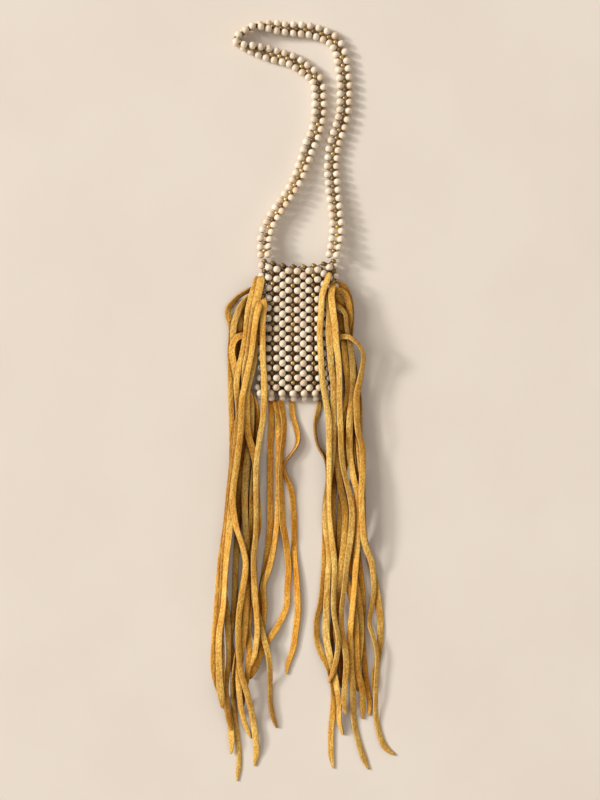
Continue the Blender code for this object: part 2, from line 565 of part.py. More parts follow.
class HeightMap:
    """How high the work lies already, over small square cells of the floor."""

    def __init__(self, outlines):
        """A map that holds some points, with room for a lace's width beside them."""
        points = np.vstack(outlines)
        self.low = points.min(axis=0) - LACE_WIDTH
        size = points.max(axis=0) + LACE_WIDTH - self.low
        self.heights = np.zeros((size / CELL).astype(int) + 1)

    def cells(self, points):
        """The cells under some points."""
        index = ((points[..., :2] - self.low) / CELL).astype(int)
        return index[..., 0], index[..., 1]

    def lift(self, points):
        """Raise the cells under some points to their heights."""
        np.maximum.at(self.heights, self.cells(points), points[..., 2])

    def lift_to_solid(self, made):
        """Raise the cells under a finished piece to its faces."""
        made.data.calc_loop_triangles()
        verts = np.array([vert.co for vert in made.data.vertices])
        corners = verts[np.array([tri.vertices for tri in made.data.loop_triangles])]
        steps = range(SOLID_SAMPLES)
        last = SOLID_SAMPLES - 1
        shares = np.array([(a, b, last - a - b) for a in steps for b in steps if a + b <= last]) / last
        self.lift(np.einsum("sk,tkc->tsc", shares, corners).reshape(-1, 3))

    def highest(self, points):
        """The greatest height at some points and in the cells beside them."""
        wide = self.heights.copy()
        wide[1:] = np.maximum(wide[1:], self.heights[:-1])
        wide[:-1] = np.maximum(wide[:-1], self.heights[1:])
        tall = wide.copy()
        tall[:, 1:] = np.maximum(tall[:, 1:], wide[:, :-1])
        tall[:, :-1] = np.maximum(tall[:, :-1], wide[:, 1:])
        return tall[self.cells(points)]


def strip_samples(edges):
    """Points over the strip between each two stations, a little past its edges: segment, along, across."""
    along = np.linspace(0.0, 1.0, STRETCH_SAMPLES)[None, :, None, None]
    across = np.linspace(0.0, 1.0, WIDTH_SAMPLES)[None, None, :, None]
    left, right = edges[:, 0], edges[:, 1]
    start = left[:-1, None, None] * (1 - across) + right[:-1, None, None] * across
    end = left[1:, None, None] * (1 - across) + right[1:, None, None] * across
    return start * (1 - along) + end * along


def lay(needed):
    """The lowest heights of the stations that keep each stretch between two above what lies under it."""
    stations = len(needed) + 1
    heights = np.zeros(stations)
    share = np.linspace(0.0, 1.0, needed.shape[1])
    for _ in range(LAYING_ROUNDS):
        settled = True
        for segment, wanted in enumerate(needed):
            here = heights[segment] * (1 - share) + heights[segment + 1] * share
            worst = int(np.argmax(wanted - here))
            short = wanted[worst] - here[worst]
            if short > 1e-6:
                settled = False
                low, high = 1 - share[worst], share[worst]
                heights[segment] += short * low / (low**2 + high**2)
                heights[segment + 1] += short * high / (low**2 + high**2)
        if settled:
            break
    for station in list(range(stations)) * 2:
        least = 0.0
        if station < stations - 1:
            wanted = needed[station, :-1] - heights[station + 1] * share[:-1]
            least = max(least, (wanted / (1 - share[:-1])).max())
        if station > 0:
            wanted = needed[station - 1, 1:] - heights[station - 1] * (1 - share[1:])
            least = max(least, (wanted / share[1:]).max())
        heights[station] = least
    return heights


def lace_line(route):
    """A lace's middle line from above, and the height at which it leaves the beadwork."""
    points = np.array(route) / 1000
    x, y = points[0]
    if y < 0.0 or abs(x) < LACE_SIDE:
        return smooth_line(points, 0.001), 0.0
    row = (y - BOTTOM_ROW_DROP - MOUTH_SAG / 2) / ROW_PITCH
    points[0, 0] = np.sign(x) * (section(row)[3] + CREAM_RADIUS + CLEARANCE)
    return smooth_line(points, 0.001), SIDE_LACE_HEIGHT


def build_laces(suede, parent, carriers):
    """Each lace as a flat strip, laid over the beadwork and over the laces that were laid before it."""
    lines = {name: lace_line(route) for name, route in LACE_ROUTES.items()}
    outlines = [np.array([vert.co[:2] for vert in carrier.data.vertices]) for carrier in carriers]
    height_map = HeightMap(outlines + [line for line, _ in lines.values()])
    for carrier in carriers:
        height_map.lift_to_solid(carrier)
    for name, (line, start_height) in lines.items():
        places = np.linspace(0.0, distances(line)[-1], LACE_STATIONS)
        middle = read_line(line, places)
        forward = np.gradient(middle, axis=0)
        forward /= np.linalg.norm(forward, axis=1)[:, None]
        across = np.column_stack([-forward[:, 1], forward[:, 0]])
        half = np.full(LACE_STATIONS, LACE_WIDTH / 2)
        half[-1] = LACE_TIP_WIDTH / 2
        wide = (half + LACE_MARGIN)[:, None]
        around = strip_samples(np.stack([middle + across * wide, middle - across * wide], axis=1))
        needed = height_map.highest(around).max(axis=2)
        needed = np.where(needed > 0.0, needed + CLEARANCE, 0.0)
        needed[0, 0] = max(needed[0, 0], start_height)
        low = lay(needed)
        left = middle + across * half[:, None]
        right = middle - across * half[:, None]
        rings = [
            np.array([(*a, z), (*b, z), (*b, z + LACE_THICKNESS), (*a, z + LACE_THICKNESS)])
            for a, b, z in zip(left, right, low)
        ]
        verts, faces = loft(rings)
        solid(f"lace_{name}", verts, faces, suede, parent)
        top = low + LACE_THICKNESS
        edges = np.stack([np.column_stack([left, top]), np.column_stack([right, top])], axis=1)
        height_map.lift(strip_samples(edges))


def set_origin(frame, pieces):
    """Put the middle of the underside of some pieces at the world's origin."""
    points = np.array([vert.co for piece in pieces for vert in piece.data.vertices])
    low, high = points.min(axis=0), points.max(axis=0)
    frame.location = (-(low[0] + high[0]) / 2, -(low[1] + high[1]) / 2, -low[2])


def clear_scene():
    """Start from an empty scene."""
    for existing in list(bpy.data.objects):
        bpy.data.objects.remove(existing, do_unlink=True)


def build():
    """The whole bag, on one empty that carries its frame."""
    clear_scene()
    cream = material("cream_stone", (0.80, 0.72, 0.60), 0.5)
    brass = material("aged_brass", (0.42, 0.29, 0.11), 0.35, 0.9)
    frame = bpy.data.objects.new("bag_frame", None)
    bpy.context.collection.objects.link(frame)
    suede = material("mustard_suede", (0.55, 0.34, 0.10), 0.9)
    build_pouch(cream, brass, frame)
    build_strap(cream, frame)
    carriers = list(frame.children)
    build_laces(suede, frame, carriers)
    set_origin(frame, carriers)


build()
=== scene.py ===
"""Beaded medicine bag: its round beads, its threads and its suede laces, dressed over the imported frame.

The pouch is a flat tube of right-angle beadwork, the strap is one unit of the same work, and the laces
are narrow suede strips that come out of the pouch's sides and bottom and lie over each other.
"""

import math

import bpy
import numpy as np
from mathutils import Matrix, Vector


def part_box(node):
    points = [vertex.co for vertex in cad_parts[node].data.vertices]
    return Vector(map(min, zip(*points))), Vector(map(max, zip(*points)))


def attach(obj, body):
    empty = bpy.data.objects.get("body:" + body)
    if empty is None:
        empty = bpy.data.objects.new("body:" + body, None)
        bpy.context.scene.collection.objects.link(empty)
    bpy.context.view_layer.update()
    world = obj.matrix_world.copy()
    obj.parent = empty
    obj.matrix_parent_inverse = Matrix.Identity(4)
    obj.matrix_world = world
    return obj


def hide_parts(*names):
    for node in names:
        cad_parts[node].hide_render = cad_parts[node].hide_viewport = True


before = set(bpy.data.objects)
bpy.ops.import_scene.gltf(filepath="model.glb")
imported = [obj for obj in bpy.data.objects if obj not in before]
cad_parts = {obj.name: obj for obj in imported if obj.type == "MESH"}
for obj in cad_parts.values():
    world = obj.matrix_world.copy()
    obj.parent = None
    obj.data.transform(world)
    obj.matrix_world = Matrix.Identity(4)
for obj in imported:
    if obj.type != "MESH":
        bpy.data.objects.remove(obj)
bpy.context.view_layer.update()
random = np.random.default_rng(11)


# The pouch: a flat tube of beads on thread, open at the top and closed at the bottom by a row of cross
# beads. Upright beads stand in columns, and a cross bead lies between each four of them. The middle of
# the front's bottom row is the pouch's own middle, and the bag lies on a surface at height nought.
CREAM_RADIUS = 0.00325
BRASS_RADIUS = 0.00215
CREAM_UNIT = 0.0101          # one cross bead and the room that the upright beads beside it take
BRASS_UNIT = 0.0075
BOTTOM_BRASS_UNIT = 0.0092
ROW_PITCH = 0.00835
TOP_ROW = 12
UNITS = "bbcbcbcb" + "bbcbcbcb"
FRONT = 8
POUCH_DEPTH = 0.0120
MOUTH_DEPTH = 0.0105
BOTTOM_ROW_DROP = 0.0050
BACK_DROP = 0.0040           # how much further down the back's bottom row lies
BACK_BLEND = 0.8             # the units from each side in which the back comes down so far
MOUTH_SAG = 0.0055           # how much higher the corners of the mouth lie than its middle
FLARE_ROWS = 1.3             # the brass units' spread at the bottom falls to a third in so many rows
FILL_ROWS = 1.9              # the tube is near its full depth so many rows up
RIM_RISE = 0.0041            # from the topmost upright beads to the rim's cross beads
RIM_ROW = TOP_ROW + RIM_RISE / ROW_PITCH
BOTTOM_ROW = -BOTTOM_ROW_DROP / ROW_PITCH
UPRIGHT_ROWS = list(range(TOP_ROW + 1))
CROSS_ROWS = [row + 0.5 for row in range(TOP_ROW)]

bottom_low, bottom_high = (np.array(corner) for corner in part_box("bottom_row_front"))
POUCH_PLACE = (bottom_low + bottom_high) / 2 * [1.0, 1.0, 0.0]
BESIDE = 0.0012              # the tube's direction at a bead is that between two points so far to its sides
SECTIONS_PER_ROW = 20
SECTIONS = {}


def unit_widths(row):
    """The sixteen unit widths at a row. Near the bottom the brass ones spread for the cream row there."""
    flare = math.exp(-max(row - BOTTOM_ROW, 0.0) / FLARE_ROWS)
    brass = BRASS_UNIT + (BOTTOM_BRASS_UNIT - BRASS_UNIT) * flare
    return np.array([brass if kind == "b" else CREAM_UNIT for kind in UNITS])


def tube_section(row):
    """The tube's cross section at a row: a superellipse, flatter underneath, bisected to the girth.

    Its half width is halved in between until the way round it is the sum of the unit widths.
    """
    key = round(row * SECTIONS_PER_ROW)
    if key in SECTIONS:
        return SECTIONS[key]
    row = key / SECTIONS_PER_ROW
    opened = 1.0 - math.exp(-((max(row - BOTTOM_ROW, 0.0) / FILL_ROWS) ** 1.6))
    full = POUCH_DEPTH + (MOUTH_DEPTH - POUCH_DEPTH) * max(row / TOP_ROW, 0.0) ** 3
    deep = 2 * CREAM_RADIUS + (full - 2 * CREAM_RADIUS) * opened
    under = min(CREAM_RADIUS, 0.42 * deep)
    turn = np.linspace(0.0, 2 * math.pi, 721)
    side, lift = np.sin(turn), np.cos(turn)
    power = np.where(lift >= 0.0, 2 / 2.3, 2 / 4.5)
    height = np.where(lift >= 0.0, deep - under, under)
    z = CREAM_RADIUS + under + height * np.sign(lift) * np.abs(lift) ** power
    girth = unit_widths(row).sum()
    low, high = 0.1 * girth, 0.5 * girth
    for _ in range(30):
        half = (low + high) / 2
        x = half * np.sign(side) * np.abs(side) ** power
        along = np.concatenate([[0.0], np.cumsum(np.hypot(np.diff(x), np.diff(z)))])
        low, high = (low, half) if along[-1] > girth else (half, high)
    SECTIONS[key] = along * girth / along[-1], x, z, half
    return SECTIONS[key]


def on_pouch(column, row):
    """A bead's place on the tube and the direction outwards from it there."""
    along, x, z, half = tube_section(row)
    edges = np.concatenate([[0.0], np.cumsum(unit_widths(row))])
    turns, part = divmod(column, len(UNITS))
    place = np.interp(part, np.arange(len(edges)), edges) + turns * edges[-1] - edges[FRONT] / 2
    near = (place + np.array([-BESIDE, 0.0, BESIDE])) % along[-1]
    xs, zs = np.interp(near, along, x), np.interp(near, along, z)
    across = np.array([xs[2] - xs[0], 0.0, zs[2] - zs[0]])
    out = np.array([-across[2], 0.0, across[0]]) / np.linalg.norm(across)
    sag = MOUTH_SAG * (abs(xs[1]) / half) ** 2.2 * max(row / TOP_ROW, 0.0) ** 2
    inwards = min(column - FRONT, len(UNITS) - column) / BACK_BLEND
    back = min(max(inwards, 0.0), 1.0)
    drop = BACK_DROP * back * (1.0 - min(max(row / TOP_ROW, 0.0), 1.0)) ** 1.3
    y = BOTTOM_ROW_DROP + row * ROW_PITCH + sag - drop
    return POUCH_PLACE + [xs[1], y, zs[1]], out


def bead_line(columns, rows, across):
    """Centres, hole directions and outward directions of the beads at some columns and rows.

    A cross bead's hole runs from column to column, and an upright bead's from row to row.
    """
    step = (0.3, 0.0) if across else (0.0, 0.3)
    centres, holes, outs = [], [], []
    for column in columns:
        for row in rows:
            centre, out = on_pouch(column, row)
            after = on_pouch(column + step[0], row + step[1])[0]
            holes.append(after - on_pouch(column - step[0], row - step[1])[0])
            centres.append(centre)
            outs.append(out)
    return centres, holes, outs


# The beads' two materials: chalky cream stone, and brass that has gone brown except where it is rubbed.
# Each bead has its own tone, is darker in its hole, and is painted darker as shade on the side that it turns
# inwards.
def new_finish(name):
    """A material with its tree and its shader."""
    made = bpy.data.materials.new(name)
    made.use_nodes = True
    return made, made.node_tree, made.node_tree.nodes["Principled BSDF"]


def new_group(name, inputs, output, kind):
    """An empty node group with named inputs, each a kind of socket and its value, and one output."""
    group = bpy.data.node_groups.new(name, "ShaderNodeTree")
    for label, (socket_kind, value) in inputs.items():
        socket = group.interface.new_socket(label, in_out="INPUT", socket_type=socket_kind)
        if value is not None:
            socket.default_value = value
    group.interface.new_socket(output, in_out="OUTPUT", socket_type=kind)
    return group, group.nodes.new("NodeGroupInput"), group.nodes.new("NodeGroupOutput")


def add_node(tree, kind, **values):
    """A node with some of its inputs or settings given by name, each a value or a socket."""
    node = tree.nodes.new(kind)
    for name, value in values.items():
        if name not in node.inputs:
            setattr(node, name, value)
        elif isinstance(value, bpy.types.NodeSocket):
            tree.links.new(value, node.inputs[name])
        else:
            node.inputs[name].default_value = value
    return node


def point_value(tree, name):
    """A value that each point of a piece carries."""
    return add_node(tree, "ShaderNodeAttribute", attribute_name=name).outputs["Fac"]


def weighed(tree, value, share, added):
    """A value times a share, plus another value."""
    node = add_node(tree, "ShaderNodeMath", operation="MULTIPLY_ADD")
    tree.links.new(value, node.inputs[0])
    node.inputs[1].default_value = share
    tree.links.new(added, node.inputs[2])
    return node.outputs[0]


def ramp(tree, source, stops):
    """A colour ramp over a value, its stops as place and colour."""
    node = tree.nodes.new("ShaderNodeValToRGB")
    elements = node.color_ramp.elements
    while len(elements) < len(stops):
        elements.new(0.5)
    for element, (place, colour) in zip(elements, stops):
        element.position = place
        element.color = (*colour, 1.0)
    tree.links.new(source, node.inputs["Fac"])
    return node.outputs["Color"]


def mix(tree, kind, share, first, second):
    """Two colours mixed by a share, each a socket or a plain value."""
    node = tree.nodes.new("ShaderNodeMix")
    node.data_type = "RGBA"
    node.blend_type = kind
    for socket, value in zip((node.inputs[0], node.inputs[6], node.inputs[7]), (share, first, second)):
        if isinstance(value, bpy.types.NodeSocket):
            tree.links.new(value, socket)
        elif isinstance(value, tuple):
            socket.default_value = (*value, 1.0)
        else:
            socket.default_value = value
    return node.outputs[2]


def mottling_group():
    """Patches of a given size: noise that becomes a mask, rising smoothly from a low to a high level."""
    inputs = {"Vector": ("NodeSocketVector", None)}
    for label, value in (("Scale", 100.0), ("Detail", 3.0), ("Low", 0.35), ("High", 0.65)):
        inputs[label] = ("NodeSocketFloat", value)
    group, given, result = new_group("mottling", inputs, "Mask", "NodeSocketFloat")
    wanted = {name: given.outputs[name] for name in ("Vector", "Scale", "Detail")}
    noise = add_node(group, "ShaderNodeTexNoise", **wanted)
    mask = add_node(group, "ShaderNodeMapRange", interpolation_type="SMOOTHSTEP")
    levels = (noise.outputs["Fac"], given.outputs["Low"], given.outputs["High"])
    for label, level in zip(("Value", "From Min", "From Max"), levels):
        group.links.new(level, mask.inputs[label])
    group.links.new(mask.outputs["Result"], result.inputs["Mask"])
    return group


def dark_hole_and_inner_shade_group():
    """A bead's colour darkened in its hole, and with painted shade laid over the side that it turns inwards.
    """
    inputs = {"Color": ("NodeSocketColor", None), "ShadeColour": ("NodeSocketColor", None)}
    group, given, result = new_group("bead_dark_hole_and_inner_shade", inputs, "Color", "NodeSocketColor")
    hole = point_value(group, "hole")
    inner = point_value(group, "inner")
    most = add_node(group, "ShaderNodeMath", operation="MAXIMUM")
    group.links.new(hole, most.inputs[0])
    group.links.new(inner, most.inputs[1])
    darkened = mix(group, "MIX", most.outputs[0], given.outputs["Color"], given.outputs["ShadeColour"])
    group.links.new(darkened, result.inputs["Color"])
    return group


MOTTLING = mottling_group()
DARK_HOLE_AND_INNER_SHADE = dark_hole_and_inner_shade_group()


def mottle(tree, place, scale, detail, low, high):
    """The mask of a mottling group placed in a material."""
    node = tree.nodes.new("ShaderNodeGroup")
    node.node_tree = MOTTLING
    tree.links.new(place, node.inputs["Vector"])
    for name, value in (("Scale", scale), ("Detail", detail), ("Low", low), ("High", high)):
        node.inputs[name].default_value = value
    return node.outputs["Mask"]


def darkened_inwards(tree, colour, shade_colour):
    """A bead's colour through the dark hole and inner shade group, with its own dark colour for the hole and
    the painted shade.
    """
    node = tree.nodes.new("ShaderNodeGroup")
    node.node_tree = DARK_HOLE_AND_INNER_SHADE
    tree.links.new(colour, node.inputs["Color"])
    node.inputs["ShadeColour"].default_value = (*shade_colour, 1.0)
    return node.outputs["Color"]


def stone_finish():
    """Chalky cream stone: a cream by bead, cloudy mottling, small pits, and a finely grained surface."""
    made, tree, shader = new_finish("cream_stone_beads")
    place = add_node(tree, "ShaderNodeTexCoord").outputs["Object"]
    tone = point_value(tree, "tone")
    creams = ramp(
        tree,
        tone,
        [(0.0, (0.85, 0.70, 0.53)), (0.3, (0.93, 0.81, 0.65)), (1.0, (0.97, 0.89, 0.76))],
    )
    cloud = mottle(tree, place, 420.0, 3.0, 0.36, 0.62)
    clouds = mix(tree, "MIX", cloud, (0.91, 0.83, 0.73), (1.0, 1.0, 1.0))
    mottled = mix(tree, "MULTIPLY", 0.85, creams, clouds)
    pits = add_node(tree, "ShaderNodeTexVoronoi", Vector=place, Scale=900.0)
    specks = ramp(tree, pits.outputs["Distance"], [(0.06, (0.62, 0.50, 0.38)), (0.18, (1.0, 1.0, 1.0))])
    pitted = mix(tree, "MULTIPLY", 0.4, mottled, specks)
    # The dark colour of the holes and of the painted shade on the beads' inward sides
    tree.links.new(darkened_inwards(tree, pitted, (0.095, 0.038, 0.008)), shader.inputs["Base Color"])
    grain = mottle(tree, place, 2600.0, 2.0, 0.3, 0.7)
    bump = add_node(tree, "ShaderNodeBump", Strength=0.25, Distance=0.0002, Height=grain)
    tree.links.new(bump.outputs["Normal"], shader.inputs["Normal"])
    shader.inputs["Roughness"].default_value = 0.50
    shader.inputs["Specular IOR Level"].default_value = 0.35
    return made


def brass_finish():
    """Aged brass: gold where it is rubbed, brown patina elsewhere, more of it on some beads."""
    made, tree, shader = new_finish("aged_brass_beads")
    place = add_node(tree, "ShaderNodeTexCoord").outputs["Object"]
    tone = point_value(tree, "tone")
    patches = mottle(tree, place, 620.0, 4.0, 0.30, 0.70)
    faint = add_node(tree, "ShaderNodeMath", operation="MULTIPLY")
    tree.links.new(patches, faint.inputs[0])
    faint.inputs[1].default_value = 0.25
    worn = weighed(tree, tone, 0.75, faint.outputs[0])
    golds = ramp(
        tree,
        worn,
        [(0.10, (0.15, 0.080, 0.028)), (0.50, (0.34, 0.205, 0.070)), (0.90, (0.78, 0.55, 0.22))],
    )
    # The dark colour of the holes and of the painted shade on the beads' inward sides
    tree.links.new(darkened_inwards(tree, golds, (0.050, 0.022, 0.006)), shader.inputs["Base Color"])
    dull = ramp(tree, worn, [(0.10, (0.52, 0.52, 0.52)), (0.95, (0.30, 0.30, 0.30))])
    tree.links.new(dull, shader.inputs["Roughness"])
    shader.inputs["Metallic"].default_value = 0.6
    return made


STONE = stone_finish()
BRASS = brass_finish()


# The pouch's beads: balls with a drilled hole, cream ones of 6.5 mm and brass ones of about 4 mm. Every
# column and ribbon of the frame gets its own round beads, upright ones with their holes along the column
# and cross ones with their holes across it, each a little different in size, tilt and place.
# Painted shade: the pouch's beads are painted darker on the side that they turn into the tube, where its
# inside is in shade
POUCH_INNER_SHADE = 0.9            # how dark the beads are on the side that they turn inwards


def new_piece(name, verts, quads, finish, nodes):
    """One smooth piece from whole arrays of points and four-sided faces, standing for its CAD nodes."""
    mesh = bpy.data.meshes.new(name)
    mesh.vertices.add(len(verts))
    mesh.vertices.foreach_set("co", np.ascontiguousarray(verts, dtype=np.float32).ravel())
    mesh.loops.add(quads.size)
    mesh.loops.foreach_set("vertex_index", np.ascontiguousarray(quads, dtype=np.int32).ravel())
    mesh.polygons.add(len(quads))
    mesh.polygons.foreach_set("loop_start", np.arange(0, quads.size, 4, dtype=np.int32))
    mesh.update(calc_edges=True)
    mesh.shade_smooth()
    mesh.materials.append(finish)
    piece = bpy.data.objects.new(name, mesh)
    bpy.context.collection.objects.link(piece)
    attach(piece, "root")
    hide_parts(*nodes)
    return piece


def give_values(piece, name, values):
    """A value for each point of a piece, for its material to read."""
    layer = piece.data.attributes.new(name, "FLOAT", "POINT")
    layer.data.foreach_set("value", np.ascontiguousarray(values, dtype=np.float32).ravel())


def ring_quads(rings, around):
    """Faces between neighbouring rings of equally many points."""
    ring, spot = np.meshgrid(np.arange(rings - 1), np.arange(around), indexing="ij")
    here, after = ring * around + spot, ring * around + (spot + 1) % around
    return np.stack([here, after, after + around, here + around], axis=-1).reshape(-1, 4)


def bead_shape():
    """A unit ball with a hole along its own Z: its points, its faces and how far in the hole each point is.

    Its rings of points go over the outside from one edge of the hole to the other, and back through it.
    """
    around = 11
    hole_edge = math.radians(13)
    hole_radius = 0.19
    steps = np.linspace(hole_edge, math.pi - hole_edge, 6)
    radii = np.concatenate([np.sin(steps), [hole_radius]])
    heights = np.concatenate([-np.cos(steps), [0.0]])
    turn = np.linspace(0.0, 2 * math.pi, around, endpoint=False)
    level = np.repeat(heights[:, None], around, axis=1)
    verts = np.stack([radii[:, None] * np.cos(turn), radii[:, None] * np.sin(turn), level], axis=-1)
    spot = np.arange(around)
    after = (spot + 1) % around
    last = (len(radii) - 1) * around
    closing = np.stack([last + spot, last + after, after, spot], axis=-1)
    hole = np.zeros(len(radii))
    hole[[0, -2]] = 0.5
    hole[-1] = 1.0
    quads = np.vstack([ring_quads(len(radii), around), closing])
    return verts.reshape(-1, 3), quads, np.repeat(hole, around)


BEAD_VERTS, BEAD_QUADS, BEAD_HOLE = bead_shape()
BEADS = []


def bead_piece(name, beads, radius, finish, node, inner_shade):
    """Many beads as one piece: each turned to its hole's direction and a little different in size.

    A point is its bead's middle plus its place on the unit ball, turned and scaled by the bead's own
    amounts. Painted shade grows from the bead's rim to its inward side, by how far a point faces inwards.
    """
    centres, holes, outs = (np.array(values) for values in beads)
    BEADS.extend((centre, radius) for centre in centres)
    count = len(centres)
    along = holes / np.linalg.norm(holes, axis=1)[:, None]
    along = along + random.normal(0.0, 0.07, (count, 3))
    along /= np.linalg.norm(along, axis=1)[:, None]
    side = np.cross(outs, along)
    side /= np.linalg.norm(side, axis=1)[:, None]
    front = np.cross(along, side)
    scale = radius * random.uniform(0.99, 1.02, count)
    squat = scale * random.uniform(0.95, 1.0, count)
    shift = random.normal(0.0, 0.035 * radius, (count, 3))
    ways = (side * scale[:, None], front * scale[:, None], along * squat[:, None])
    around_centre = sum(BEAD_VERTS[None, :, axis, None] * way[:, None] for axis, way in enumerate(ways))
    verts = (centres + shift)[:, None] + around_centre
    verts[..., 2] -= np.minimum(verts[..., 2].min(axis=1), 0.0)[:, None]
    facing = (around_centre * outs[:, None]).sum(axis=2) / scale[:, None]
    quads = BEAD_QUADS[None] + (np.arange(count) * len(BEAD_VERTS))[:, None, None]
    piece = new_piece(name, verts.reshape(-1, 3), quads.reshape(-1, 4), finish, [node])
    give_values(piece, "tone", np.repeat(random.uniform(0.0, 1.0, count), len(BEAD_VERTS)))
    give_values(piece, "hole", np.tile(BEAD_HOLE, count))
    # Painted shade on each bead's inward side, from a little past its rim
    give_values(piece, "inner", inner_shade * np.clip((-0.15 - facing) / 0.45, 0.0, 1.0))
    return piece


for unit, kind in enumerate(UNITS):
    side = "front" if unit < FRONT else "back"
    number = unit % FRONT + 1
    if kind == "b":
        node = f"brass_column_{side}_{number}"
        crosses = bead_line([unit + 0.5], CROSS_ROWS + [RIM_ROW], True)
        bead_piece(f"{node}_beads", crosses, BRASS_RADIUS, BRASS, node, POUCH_INNER_SHADE)
        if UNITS[unit - 1] != "b":
            continue
        node = f"cream_column_{side}_{number}"
        uprights = bead_line([unit], UPRIGHT_ROWS, False)
    else:
        node = f"cream_ribbon_{side}_{number}"
        rim = bead_line([unit + 0.5], [RIM_ROW], True)
        bead_piece(f"rim_bead_{side}_{number}", rim, BRASS_RADIUS, BRASS, node, POUCH_INNER_SHADE)
        uprights = bead_line([unit, unit + 1], UPRIGHT_ROWS, False)
        crosses = bead_line([unit + 0.5], CROSS_ROWS, True)
        uprights = [first + second for first, second in zip(uprights, crosses)]
    bead_piece(f"{node}_beads", uprights, CREAM_RADIUS, STONE, node, POUCH_INNER_SHADE)

for side, start in (("front", 0), ("back", FRONT)):
    node = f"bottom_row_{side}"
    row_beads = bead_line([start + unit + 0.5 for unit in range(FRONT)], [BOTTOM_ROW], True)
    bead_piece(f"{node}_beads", row_beads, CREAM_RADIUS, STONE, node, 0.0)


# The pouch's thread: waxed and dark brown. It runs through every bead and turns from the hole of each
# upright bead into the holes of the cross beads beside it, which is what holds the work together.
THREAD_RADIUS = 0.00030
HOLE_REACH = 0.85            # from a bead's middle to the end of its hole, as a share of its radius


def thread_finish():
    """Waxed dark brown thread with a fine twist."""
    made, tree, shader = new_finish("waxed_thread")
    place = add_node(tree, "ShaderNodeTexCoord").outputs["Object"]
    twist = mottle(tree, place, 1800.0, 1.0, 0.35, 0.65)
    browns = mix(tree, "MIX", twist, (0.050, 0.024, 0.010), (0.130, 0.070, 0.028))
    tree.links.new(browns, shader.inputs["Base Color"])
    shader.inputs["Roughness"].default_value = 0.6
    return made


THREAD = thread_finish()


def thread_piece(name, starts, bends, ends, nodes):
    """Short threads as one piece: thin closed tubes along quadratic curves from hole to hole over a bend."""
    starts, bends, ends = (np.array(values) for values in (starts, bends, ends))
    around = 6
    share = np.linspace(0.0, 1.0, 5)[None, :, None]
    line = starts[:, None] * (1 - share) ** 2 + bends[:, None] * 2 * share * (1 - share)
    line = line + ends[:, None] * share**2
    forward = np.gradient(line, axis=1)
    forward /= np.linalg.norm(forward, axis=2)[..., None]
    side = np.cross(forward, [0.31, 0.17, 0.93])
    side /= np.linalg.norm(side, axis=2)[..., None]
    up = np.cross(forward, side)
    turn = np.linspace(0.0, 2 * math.pi, around, endpoint=False)[None, None, :, None]
    ring = np.cos(turn) * side[:, :, None] + np.sin(turn) * up[:, :, None]
    verts = line[:, :, None] + THREAD_RADIUS * ring
    rings = line.shape[1]
    cap = np.array([[0, 3, 2, 1], [0, 5, 4, 3]])
    one = np.vstack([ring_quads(rings, around), cap, cap[:, ::-1] + (rings - 1) * around])
    quads = one[None] + (np.arange(len(line)) * rings * around)[:, None, None]
    return new_piece(name, verts.reshape(-1, 3), quads.reshape(-1, 4), THREAD, nodes)


def hole_end(column, row, across, up):
    """The end of a bead's hole: its middle moved across or up by nearly its radius."""
    shifted_column = column + across / unit_widths(row)[math.floor(column - 0.01) % len(UNITS)]
    return on_pouch(shifted_column, row + up / ROW_PITCH)[0]


starts, bends, ends = [], [], []
for unit, kind in enumerate(UNITS):
    radius = BRASS_RADIUS if kind == "b" else CREAM_RADIUS
    for row in CROSS_ROWS + [RIM_ROW, BOTTOM_ROW]:
        cross_radius = {BOTTOM_ROW: CREAM_RADIUS, RIM_ROW: BRASS_RADIUS}.get(row, radius)
        reach = HOLE_REACH * cross_radius
        rise = {RIM_ROW: [(TOP_ROW, 1)], BOTTOM_ROW: [(0, -1)]}.get(row, [(row - 0.5, 1), (row + 0.5, -1)])
        for column, way in ((unit, -1), (unit + 1, 1)):
            end = hole_end(unit + 0.5, row, way * reach, 0.0)
            for upright, up in rise:
                start = hole_end(column, upright, 0.0, up * HOLE_REACH * CREAM_RADIUS)
                starts.append(start)
                bends.append(np.array([start[0], end[1], start[2]]) * 0.5 + (start + end) * 0.25)
                ends.append(end)
thread_piece("pouch_threads", starts, bends, ends, ["cream_ribbon_front_5"])


# The strap: one unit of the same work, two rails of cream beads with brass rungs, from one corner of the
# mouth to the other. It leans on one rail in places, and stands on its edge where it doubles back.
STRAP_PAIR_PITCH = 0.0071
STRAP_RAIL_SPACING = 0.0080
STRAP_LEAD = 0.0054          # from the mouth's corner beads to the first pair of the strap
STRAP_FALL = 0.024           # the length in which it comes down from the mouth's corners

# From the middle of the mouth's corners, in millimetres to the right and up, and the roll in degrees
STRAP_ROUTE = [
    (-29, 20, 12), (-24, 34, 24), (-16, 47, 30), (-9, 57, 30), (-1, 71, 26), (4, 84, 18), (9, 99, 10),
    (15, 113, 4), (18, 129, 0), (18, 142, 0), (17, 154, 0), (13, 161, 0), (4, 168, 0), (-7, 175, 0),
    (-21, 179, 10), (-36, 183, 45), (-50, 187, 85), (-55, 192, 90), (-49, 197, 90), (-40, 203, 85),
    (-29, 204, 50), (-11, 202, 16), (6, 201, 8), (21, 197, 0), (31, 191, 0), (36, 181, 0), (38, 171, 0),
    (40, 156, 0), (40, 142, 0), (39, 128, 0), (35, 114, 0), (31, 101, 0), (29, 88, 0), (29, 74, -6),
    (31, 55, -16), (33, 36, -24), (33, 22, -14),
]


